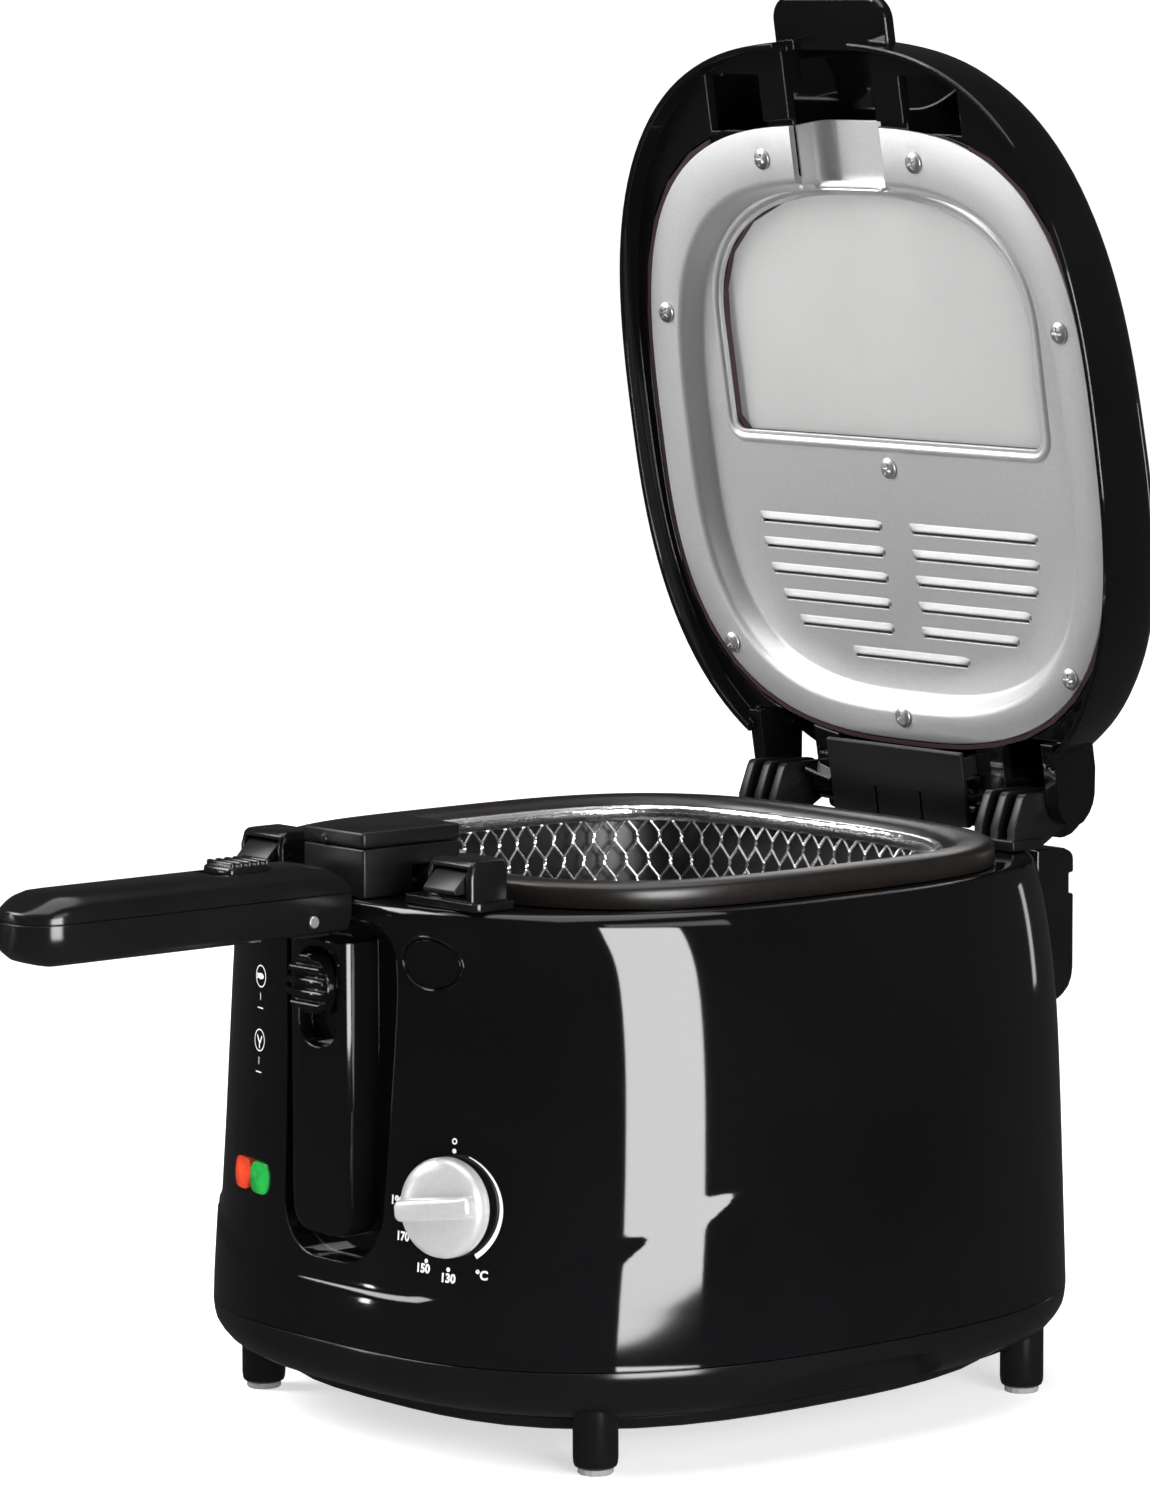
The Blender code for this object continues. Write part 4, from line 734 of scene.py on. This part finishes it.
for label, side in (("left", -1.0), ("right", 1.0)):
    low, high = span(side, 54.0, 76.6)
    mount = object_of("hinge_mount_" + label, box(low, high, 116.6, 132.0, DECK, 200.2, 0.6))
    fins = []
    for x in (56.8, 65.2, 74.1):
        view = [(117.6, 197.0), (117.6, 204.0), (122.0, 214.9), (122.8, 216.2), (124.0, 216.8),
                (144.4, 216.8), (145.8, 216.1), (146.5, 214.6), (146.6, 205.0), (132.0, 197.0)]
        fins.append(prism(view, "X", side * x - 1.8, side * x + 1.8))
    join(mount, merged(*fins))
    cut(mount, prism(circle(*HINGE_PIN, 2.9), "X", side * 40.0, side * 90.0))
    place(mount, "matte", "body", ["hinge_bracket_" + label], bevel=0.5, slot="matte_black")

view = [(150.6, 192.0), (161.0, 192.0), (165.0, 191.4), (168.0, 190.0), (169.2, 188.6), (169.6, 187.0),
        (169.6, 182.0), (167.4, 181.8), (167.4, 174.2), (169.6, 174.0), (169.6, 146.0), (169.0, 142.4),
        (167.4, 139.0), (164.6, 136.4), (162.0, 134.8), (158.0, 134.0), (150.6, 134.0)]
rear_box = object_of("hinge_cover", prism(view, "X", -54.5, 54.5))
cut(rear_box, loft([body_ring(z, -0.4, crease=False) for z in
                                      (120.0, 150.0, 170.0, 178.0, 184.0, 190.0)]
                                     + [body_ring(200.0, -0.4, crease=False)]))
place(rear_box, "tray", "body", ["hinge_housing"], bevel=0.8, slot="matte_black")

# --- catch slider

slider = object_of("catch_slide_body", box(-10.2, 10.2, -150.2, -141.0, 155.0, 178.0, 1.2))
ribs = []
for k in range(5):
    z = 157.1 + 4.2 * k
    ribs.append(box(-10.6, 10.6, -152.7, -149.0, z, z + 2.4, 0.9))
join(slider, merged(*ribs))
boolean(slider, "INTERSECT", prism(ellipse(0.0, 165.4, 10.2, 10.9, 72), "Y", -160.0, -140.0))
cut(slider, box(-2.2, 2.2, -144.6, -140.0, 157.0, 176.0))
place(slider, "gloss", "slide_catch", ["catch_slider"], angle=40, slot="matte_black")

# --- handle


def handle_ring(y, low, high, seam, upper):
    """Half of a rounded-rectangle cross-section at one place along the handle."""
    half = 16.5
    run = y - HANDLE_TIP
    if run < 14.0:
        half = max(2.5, 2.5 + sqrt(max(0.0, 14.0 ** 2 - (14.0 - run) ** 2)))
    first, power = (0.0, 3.0) if upper else (pi, 5.0)
    base = seam + 0.15 if upper else seam - 0.15
    rise = high - base if upper else base - low
    points = []
    for i in range(13):
        t = first + pi * i / 12
        c, s = cos(t), sin(t)
        reach = squareness(c, s, power)
        points.append((half * c * reach, y, base + rise * s * reach))
    return points


def handle_half(upper):
    places = [HANDLE_TIP + 14.0 * (1 - cos(radians(7.5 * k))) for k in range(13)]
    places += [HANDLE_TIP + 14.0 + 8.0 * k for k in range(1, 16)]
    rows = []
    for y in places:
        run = y - HANDLE_TIP
        top = 209.0 - 6.5 * (1 - smoothstep(run, -3.0, 16.0)) if upper else 209.0
        low = 184.0 + 6.0 * (1 - smoothstep(run, -2.0, 12.0)) ** 1.6
        rows.append(handle_ring(y, low, top, 199.0, upper))
    return loft(rows)


end_view = [(-300.0, 170.0), (-160.7, 170.0)]
end_view += arc(*PIVOT, 19.5, -90.0, 180.0, 30)
end_view += [(-300.0, 209.5)]
lower = object_of("grip_lower", handle_half(False))
boolean(lower, "INTERSECT", prism(end_view, "X", -20.0, 20.0))
for tool in (prism([(-168.7, 170.0), (-130.0, 170.0), (-130.0, 205.0), (-168.7, 205.0)], "X", -10.0, 10.0),
             prism(circle(*PIVOT, 2.5), "X", -20.0, 20.0), box(-6.0, 6.0, -200.0, -174.5, 195.0, 203.0)):
    cut(lower, tool)
place(lower, "handle", "folding_handle", ["handle_lower"], slot="handle_black")
upper = object_of("grip_upper", handle_half(True))
boolean(upper, "INTERSECT", prism(end_view, "X", -20.0, 20.0))
cut(upper, prism(rounded_rect(-8.4, 8.4, -197.0, -171.5, 2.5), "Z", 190.0, 215.0))
place(upper, "handle", "folding_handle", ["handle_upper"], slot="handle_black")
thumb = object_of("thumb_button", box(-8.0, 8.0, -190.4, -172.0, 202.6, 210.8, 1.4))
for k in range(5):
    join(thumb, box(-7.4, 7.4, -189.2 + 3.7 * k, -187.2 + 3.7 * k, 209.6, 212.4, 0.7))
join(thumb, box(-3.0, 3.0, -180.0, -176.0, 198.0, 204.0))
place(thumb, "handle", "thumb_lock", ["thumb_slider"], angle=40, slot="matte_black")

# --- knob and dial

spot, out = wall_point(*DIAL)
knob = object_of("knob_cap", turn_to(lathe(((16.6, 1.4), (17.2, 1.7), (17.5, 2.4), (17.5, 5.4), (17.2, 6.6),
                                            (16.4, 7.6), (14.8, 8.5), (12.0, 9.2), (8.0, 9.7), (3.0, 9.9),
                                            (0.4, 9.92)), 96), spot, out))
across = Vector((0.0, 0.0, 1.0)).cross(out).normalized()
up = out.cross(across).normalized()
turn = radians(262.0)
along = up * cos(turn) + across * sin(turn)
side = out.cross(along).normalized()
bar = loft([[(x, y, z) for x, y in rounded_rect(-3.8 + d, 3.8 - d, -16.0 + e, 16.0 - e, 2.4 - 0.5 * d, 8)]
            for d, e, z in ((0.0, 0.0, 4.0), (0.0, 0.0, 11.2), (0.25, 0.3, 12.3), (0.8, 0.9, 13.1),
                            (1.7, 1.9, 13.5))])
for vert in bar.verts:
    x, y, z = vert.co
    vert.co = spot + side * x + along * y + out * z
join(knob, bar)
cut(knob, turn_to(lathe(((3.2, -3.0), (3.2, 7.0)), 24), spot, out))
place(knob, "knob", "thermostat_knob", ["knob"], slot="silver_paint")


def on_wall(item, cx, cz):
    """Lay a flat drawing in X and Y on to the front wall, narrowed as the wall turns away."""
    squeeze = across.x if cx > 0 else cos(atan2(wall_point(cx, cz)[1].x, 1.0))
    for vert in item.data.vertices:
        u, v, w = vert.co
        x, z = cx + u * squeeze, cz + v
        y = wall_y(x, z)
        for _ in range(2):
            y = wall_y(x, z) - crease_push(x, y, z)
        vert.co = (x, y - PRINT_LIFT - w, z)
    return item


def lettering(words, cx, cz):
    curve = bpy.data.curves.new("text", "FONT")
    curve.body = words
    curve.size = LETTER_SIZE
    curve.align_x = "CENTER"
    curve.align_y = "CENTER"
    curve.resolution_u = 3
    curve.offset = 0.04 * LETTER_SIZE
    item = in_scene("text", curve)
    bpy.context.view_layer.update()
    mesh = bpy.data.meshes.new_from_object(item.evaluated_get(bpy.context.evaluated_depsgraph_get()))
    bpy.data.objects.remove(item, do_unlink=True)
    return on_wall(in_scene("print", mesh), cx, cz)


def flat_shape(outline, cx, cz):
    bm = bmesh.new()
    bm.faces.new([bm.verts.new((x, y, 0.0)) for x, y in outline])
    return on_wall(object_of("print", bm), cx, cz)


def flat_ring(cx, cz, radius, width, start=0.0, end=360.0, grow=0.0, steps=48):
    """Ring or arc; angles run clockwise from the top, and grow widens it along the way."""
    bm = bmesh.new()
    rows = []
    for i in range(steps + 1):
        t = i / steps
        a = radians(start + (end - start) * t)
        w = width + grow * t
        rows.append([bm.verts.new((r * sin(a), r * cos(a), 0.0)) for r in (radius, radius + w)])
    for low, high in zip(rows, rows[1:]):
        bm.faces.new((low[0], low[1], high[1], high[0]))
    return on_wall(object_of("print", bm), cx, cz)


def dial_spot(clock, radius):
    """Place on the wall at a clock angle and a distance from the middle of the dial."""
    a = radians(clock)
    return DIAL[0] + radius * sin(a), DIAL[1] + radius * cos(a)


PRINT_LIFT = 0.06
LETTER_SIZE = 4.3
SYMBOL_X = -50.0
prints = []
for clock, words, radius in ((180.0, "130", 25.0), (205.5, "150", 25.2), (238.5, "170", 24.6),
                             (268.3, "190", 24.7)):
    prints.append(flat_shape(circle(0.0, 0.0, 0.8, 20), *dial_spot(clock, radius - 3.1)))
    prints.append(lettering(words, *dial_spot(clock, radius)))
prints.append(flat_shape(circle(0.0, 0.0, 0.9, 20), *dial_spot(0.0, 19.3)))
prints.append(flat_ring(*dial_spot(0.0, 22.7), 0.6, 0.5))
prints.append(lettering("°C", *dial_spot(150.6, 26.1)))
prints.append(flat_ring(*DIAL, 18.6, 0.4, 19.0, 147.0, 1.4))
for z in (161.0, 138.0):
    prints.append(flat_ring(SYMBOL_X, z, 3.6, 0.45))
    prints.append(flat_shape([(-0.2, -4.4), (0.2, -4.4), (0.2, -7.0), (-0.2, -7.0)], SYMBOL_X, z - 1.6))
    prints.append(flat_shape([(-2.2, -0.2), (2.2, -0.2), (2.2, 0.2), (-2.2, 0.2)], SYMBOL_X, z - 11.4))
fish = [(2.4 * cos(t), 1.1 * sin(t)) for t in [pi * k / 10 for k in range(-8, 9)]]
prints.append(flat_shape(fish + [(-3.0, 1.2), (-3.0, -1.2)], SYMBOL_X, 161.0))
for dx, dz, a in ((-1.0, 0.5, 0.6), (1.1, 0.3, -0.5), (0.0, -1.4, 0.1)):
    c, s = cos(a), sin(a)
    stick = [(dx + u * c - v * s, dz + u * s + v * c)
             for u, v in ((-0.35, -1.5), (0.35, -1.5), (0.35, 1.5), (-0.35, 1.5))]
    prints.append(flat_shape(stick, SYMBOL_X, 138.0))
for number, item in enumerate(prints):
    item.name = "dial_print_%02d" % number
    place(item, "print", "body")


# --- lid

def lid_rim(inset, z, lift=0.0):
    ring = oval(128.0 - inset, 147.0 - inset, 140.0 - inset, 2.7, 2.6, 0.0, z)
    return [(x, y, h + lift * (y + 147.0) / 287.0) for x, y, h in ring]


def panel_ring(inset, z):
    return oval(119.0 - inset, 124.5 - inset, 109.0 - inset, 3.2, 2.75, 10.0, z)


FLANGE = 207.3
LID = ((0.35, 200.1, 0.0), (0.0, 200.6, 0.0), (0.1, 203.0, 0.0), (0.3, 206.0, 0.0), (0.7, 210.0, 0.5),
       (1.2, 214.0, 1.0), (1.9, 217.8, 3.2), (3.0, 221.0, 6.0), (4.6, 223.4, 8.6), (7.0, 225.3, 11.0),
       (10.6, 226.7, 12.9), (16.0, 227.6, 14.0), (28.0, 228.2, 14.9), (44.0, 228.6, 15.5))


def window_outline(grow=0.0, corner=5.0):
    """Straight at the rear with two rounded corners, and one full curve at the front."""
    half = 84.0 + grow
    rear = grow + 5.0 - corner
    points = arc(-half + corner, rear, corner, 90.0, 90.0, 8)
    for i in range(49):
        t = pi * i / 48
        c, s = cos(t), sin(t)
        reach = squareness(c, s, 2.5)
        points.append((-half * c * reach, -35.0 - (52.5 + grow) * s * reach))
    return points + arc(half - corner, rear, corner, 0.0, 90.0, 8)


rings = [lid_rim(44.0, 228.6, 15.5)]
for d, z, lift in reversed(LID[:-1]):
    rings.append(lid_rim(d, z, lift))
rings += [lid_rim(1.9, 200.1), lid_rim(2.2, 200.5), lid_rim(2.6, FLANGE), panel_ring(-2.4, FLANGE),
          panel_ring(-2.4, 209.2), panel_ring(8.0, 209.2), panel_ring(8.0, 211.0), lid_rim(4.0, 211.6)]
for d, z, lift in ((5.0, 219.8, 6.0), (9.0, 224.2, 11.0), (18.0, 226.4, 14.0)):
    rings.append(lid_rim(d, z, lift))
rings.append(lid_rim(44.0, 226.6, 15.5))
shell = object_of("lid_cover", loft(rings))
tab = loft([[(x, y, z) for x, y in rounded_rect(-30.7 + d, 30.7 - d, -162.0 + d, -128.0, 9.0 - d, 10)]
            for d, z in ((0.9, 211.0), (0.2, 211.5), (0.0, 212.4), (0.0, 214.6), (0.5, 215.7), (1.6, 216.2))])
hump = [(134.0, 219.2), (151.6, 219.2), (153.4, 219.9), (154.6, 221.6), (155.0, 224.0), (154.6, 228.0),
        (153.0, 231.6), (150.0, 235.2), (146.0, 238.0), (141.0, 239.8), (134.0, 240.8), (128.0, 241.0),
        (128.0, 236.0), (136.0, 232.0)]
join(shell, tab)
join(shell, prism(hump, "X", -62.0, 62.0))


def window_funnel(grow, low):
    return loft([[(x, y, z) for x, y in window_outline(grow + flare)]
                 for flare, z in ((0.0, low), (0.0, 223.0), (15.0, 238.0), (17.0, 262.0))])


well = object_of("well", window_funnel(4.6, 222.6))
boolean(well, "INTERSECT", loft([lid_rim(d + 0.6, z, lift) for d, z, lift in LID[1:-1]]
                                + [lid_rim(44.6, 228.0, 15.5)]))
bake(well)
join(shell, well)
arms = []
for side in (-1.0, 1.0):
    low, high = span(side, 38.5, 50.0)
    barrel = arc(*HINGE_PIN, 6.6, -150.0, 210.0, 14)
    arms.append(prism(barrel + [(150.0, 221.5), (128.0, 221.5), (128.0, 207.0)], "X", low, high))
join(shell, merged(*arms))
cuts = [window_funnel(2.6, 190.0), box(-20.5, 20.5, -160.0, -142.0, 195.0, 211.0),
        box(-24.0, 24.0, -142.3, -86.0, 195.0, 220.2), box(-23.6, 23.6, -137.0, -86.0, 195.0, 223.0),
        prism(circle(*HINGE_PIN, 2.9), "X", -60.0, 60.0), box(-38.0, 38.0, 118.6, 160.0, 195.0, 218.0)]
for side in (-1.0, 1.0):
    low, high = span(side, 38.2, 68.4)
    cuts.append(box(low, high, -133.6, -112.0, 204.0, 216.0))
    low, high = span(side, 51.6, 82.0)
    cuts.append(box(low, high, 112.5, 170.0, 195.0, 219.4))
for y in (42.0, 52.0, 62.0, 72.0, 82.0):
    cuts.append(box(-46.0, 46.0, y - 1.6, y + 1.6, 225.0, 250.0))
for tool in cuts:
    cut(shell, tool)
ears = []
for side in (-1.0, 1.0):
    low, high = span(side, 77.2, 83.6)
    view = [(113.0, 203.2), (138.0, 203.2), (141.0, 204.1), (143.4, 206.0), (145.0, 209.0), (145.2, 211.5),
            (144.6, 214.5), (142.0, 218.0), (139.0, 220.3), (136.0, 221.6), (126.0, 223.5), (113.0, 223.5)]
    ears.append(prism(view, "X", low, high))
join(shell, merged(*ears))
place(shell, "gloss", "lid", ["lid_shell"], lid=True, slot="gloss_black")

PAN = FLANGE + 7.5  # the raised middle of the panel
SCREWS = ((-41.4, -101.6, FLANGE), (41.4, -101.6, FLANGE), (-107.4, -41.0, FLANGE), (107.4, -41.0, FLANGE),
          (-92.8, 88.0, FLANGE), (92.8, 88.0, FLANGE), (0.0, 110.0, FLANGE), (0.0, 16.0, PAN))
LOUVRES = ((39.5, 9.0, 74.5), (49.5, 9.0, 74.0), (59.5, 9.0, 71.8), (69.5, 9.0, 66.5), (79.2, 9.0, 58.7))


def pan_ring(reach, z):
    return oval(reach, reach, reach - 6.0, 3.2, 2.9, 10.0, z)


rings = [pan_ring(reach, z) for reach, z in
         ((97.6, PAN), (98.6, PAN - 0.3), (99.6, PAN - 1.2), (102.0, FLANGE + 2.2), (102.8, FLANGE + 0.9),
          (103.8, FLANGE + 0.2), (105.2, FLANGE))]
rings += [panel_ring(inset, FLANGE + z) for inset, z in ((0.8, 0.0), (0.2, 0.2), (0.0, 0.8), (0.0, 1.2))]
rings += [pan_ring(reach, z) for reach, z in
          ((106.0, FLANGE + 1.2), (103.4, FLANGE + 3.0), (100.4, PAN + 0.2), (98.6, PAN + 1.2))]
panel = object_of("lid_inner_panel", loft(rings))


def channel_shape(grow):
    """Rounded trough pressed across the front of the panel; it opens forwards and on to the pan."""
    half, top = 21.5 + grow, 220.7 + grow
    outline = arc(-half + 7.0, top - 7.0, 7.0, 180.0, -90.0, 8)
    outline += arc(half - 7.0, top - 7.0, 7.0, 90.0, -90.0, 8)
    flare = [(half, FLANGE)]
    if grow == 0.0:
        flare = [(half + 1.2, FLANGE + 1.6), (half + 3.0, FLANGE + 0.2), (half + 3.2, FLANGE - 6.0)]
    return outline + flare + [(-x, z) for x, z in reversed(flare)]


join(panel, prism(channel_shape(1.2), "Y", -114.3, -90.6))
cut(panel, prism(channel_shape(0.0), "Y", -130.0, -91.8))
cut(panel, box(-20.5, 20.5, -130.0, -88.0, 190.0, FLANGE + 7.0, 3.0, 5))
cut(panel, prism(window_outline(), "Z", 190.0, 218.5))


def louvre(x0, x1, y):
    """Pressed lip along a slot: straight, low, closed at both ends and open on the slot's side."""
    rows = []
    count = 22
    for k in range(count + 1):
        t = k / count
        x = x0 + (x1 - x0) * t
        lift = sqrt(max(0.0, 1.0 - max(0.0, 1.0 - min(x - x0, x1 - x) / 3.4) ** 2))
        profile = [(-3.6, 0.30), (-3.0, 0.02), (-2.1, -0.14 * lift), (-1.2, -0.36 * lift),
                   (-0.5, -0.54 * lift), (-0.1, -0.56 * lift), (0.1, -0.34 * lift), (-0.5, -0.16 * lift),
                   (-1.2, 0.06 * lift), (-2.1, 0.36), (-3.6, 0.5)]
        rows.append([(x, y + dy, PAN + dz) for dy, dz in profile])
    return loft(rows)


slots, lips = [], []
for y, near, far in LOUVRES:
    for side in (-1.0, 1.0):
        low, high = span(side, near, far)
        slots.append(box(low, high, y - 1.3, y + 1.3, 205.0, 225.0))
        lips.append(louvre(low - 1.5, high + 1.5, y))
slots.append(box(-30.6, 30.6, 88.0, 90.6, 205.0, 225.0))
lips.append(louvre(-32.1, 32.1, 89.3))
cut(panel, merged(*slots))
cut(panel, merged(*[prism(circle(x, y, 1.9, 16), "Z", z - 5.0, z + 5.0) for x, y, z in SCREWS]))
place(panel, "panel", "lid", ["lid_panel"], lid=True, angle=28, slot="aluminium")
lip = object_of("panel_louvres", merged(*lips))
place(lip, "panel", "lid", lid=True, angle=50, slot="aluminium")
bead = [[(x, y, PAN + h) for x, y in window_outline(g, 5.0 + g)]
        for g, h in ((1.2, 0.3), (1.9, -0.55), (2.7, -0.9), (3.6, -0.9), (4.4, -0.55), (5.2, 0.3))]
edge = object_of("window_bead", loft(bead, caps=False))
place(edge, "panel", "lid", lid=True, angle=60, slot="aluminium")

pane = object_of("window_pane", prism(window_outline(2.4), "Z", 219.2, 222.2))
place(pane, "glass", "lid", ["window_glass"], lid=True, slot="clear_glass")

for number, (x, y, z) in enumerate(SCREWS):
    profile = ((1.2, -1.6), (2.4, -1.5), (3.3, -1.2), (3.9, -0.7), (4.0, -0.3), (1.5, -0.3), (1.5, 1.6))
    screw = object_of("screw_head_%d" % (number + 1), lathe(profile, 32))
    turn = 0.4 + number * 0.9
    for extra in (0.0, pi / 2):
        cross = box(-2.3, 2.3, -0.42, 0.42, -3.0, -0.75)
        spin = Matrix.Rotation(turn + extra, 3, "Z")
        bmesh.ops.rotate(cross, verts=cross.verts, cent=(0, 0, 0), matrix=spin)
        cut(screw, cross)
    bake(screw)
    screw.data.transform(Matrix.Translation((x, y, z)))
    place(screw, "steel", "lid", ["lid_screw_%d" % (number + 1)], lid=True, slot="steel")

# --- studio


def light_panel(name, azimuth, elevation, distance, width, height, power, target=(0.0, 0.0, 0.2)):
    """Soft box on a sphere round the object; azimuth from the front towards the right."""
    a, e = radians(azimuth), radians(elevation)
    away = Vector((sin(a) * cos(e), -cos(a) * cos(e), sin(e)))
    data = bpy.data.lights.new(name, "AREA")
    data.shape = "RECTANGLE"
    data.size, data.size_y = width, height
    data.energy = power
    lamp = in_scene(name, data)
    lamp.location = Vector(target) + away * distance
    lamp.rotation_euler = (-away).to_track_quat("-Z", "Y").to_euler()
    return lamp


def stage_piece(name, bm, mat):
    """Part of the studio: it is seen, but the gloss doesn't mirror it."""
    item = object_of(name, bm)
    item.data.materials.append(mat)
    item.visible_glossy = False
    return item


AZ = radians(49.9)
AWAY = Vector((-sin(AZ), cos(AZ), 0.0))
RIGHT = Vector((cos(AZ), sin(AZ), 0.0))
white = material("floor_white", (0.92, 0.92, 0.92), 0.6, tone=0.01, grain=0.0)
glow(white, (1.0, 1.0, 1.0), 0.62)
back = glow(material("backdrop_white", (0.9, 0.9, 0.9), 0.8, tone=0.01, grain=0.0), (1.0, 1.0, 1.0), 1.0)
sheet = bmesh.new()
sheet.faces.new([sheet.verts.new(AWAY * along + RIGHT * across) for along, across in
                 ((-0.62, -1.6), (-0.62, 1.6), (1.6, 2.0), (1.6, -2.0))])
floor = stage_piece("floor", sheet, white)
# A wide drum round everything is the backdrop from every side; it gives no light of its own.
drum = loft([[(x, y, z) for x, y in circle(0.0, 0.0, 7.0, 96)] for z in (-0.002, 9.0)])
drum = stage_piece("backdrop", drum, back)
drum.visible_diffuse = False
light_panel("top_box", 0.0, 88.0, 1.9, 2.2, 2.2, 34.0)
light_panel("front_left_fill", -48.0, 38.0, 2.0, 0.9, 0.9, 29.0)
light_panel("front_left_low", -46.0, 21.0, 2.0, 0.8, 0.26, 6.0)
right_box = light_panel("right_box", 77.0, 0.8, 1.7, 0.94, 0.84, 38.0)
light_panel("right_high", 88.0, 25.0, 2.0, 1.5, 0.5, 5.0)
light_panel("strip_left", -43.0, -1.3, 2.2, 0.08, 0.30, 1.7)
light_panel("strip_rear", -178.0, -1.0, 2.5, 0.13, 0.42, 0.42)

# The pressed metal of the lid has a soft box of its own and none of the light from the right.
panel_box = light_panel("panel_box", -50.0, 14.0, 2.2, 1.5, 1.1, 4.8)
for lamp, state in ((right_box, "EXCLUDE"), (panel_box, "INCLUDE")):
    linked = bpy.data.collections.new("lit_by_" + lamp.name)
    for name in ("lid_inner_panel", "panel_louvres", "window_bead"):
        linked.objects.link(bpy.data.objects[name])
    for entry in linked.collection_objects:
        entry.light_linking.link_state = state
    lamp.light_linking.receiver_collection = linked

world = bpy.data.worlds.new("studio")
bpy.context.scene.world = world
world.use_nodes = True
world.node_tree.nodes["Background"].inputs["Color"].default_value = (1, 1, 1, 1)
world.node_tree.nodes["Background"].inputs["Strength"].default_value = 0.045

camera = bpy.data.cameras.new("photo_view")
camera.lens = 156.67
camera.sensor_width = 36.0
camera.clip_end = 50.0
eye = in_scene("photo_view", camera)
eye.location = (1.7864, -1.5327 + BASE_Y * MM, 0.5087)
pitch, roll = radians(-6.6), radians(-0.2)
eye.matrix_world = (Matrix.Translation(eye.location) @ Matrix.Rotation(AZ, 4, "Z")
                    @ Matrix.Rotation(radians(90.0) + pitch, 4, "X") @ Matrix.Rotation(roll, 4, "Z"))
bpy.context.scene.camera = eye
bpy.context.scene.view_settings.view_transform = "Standard"
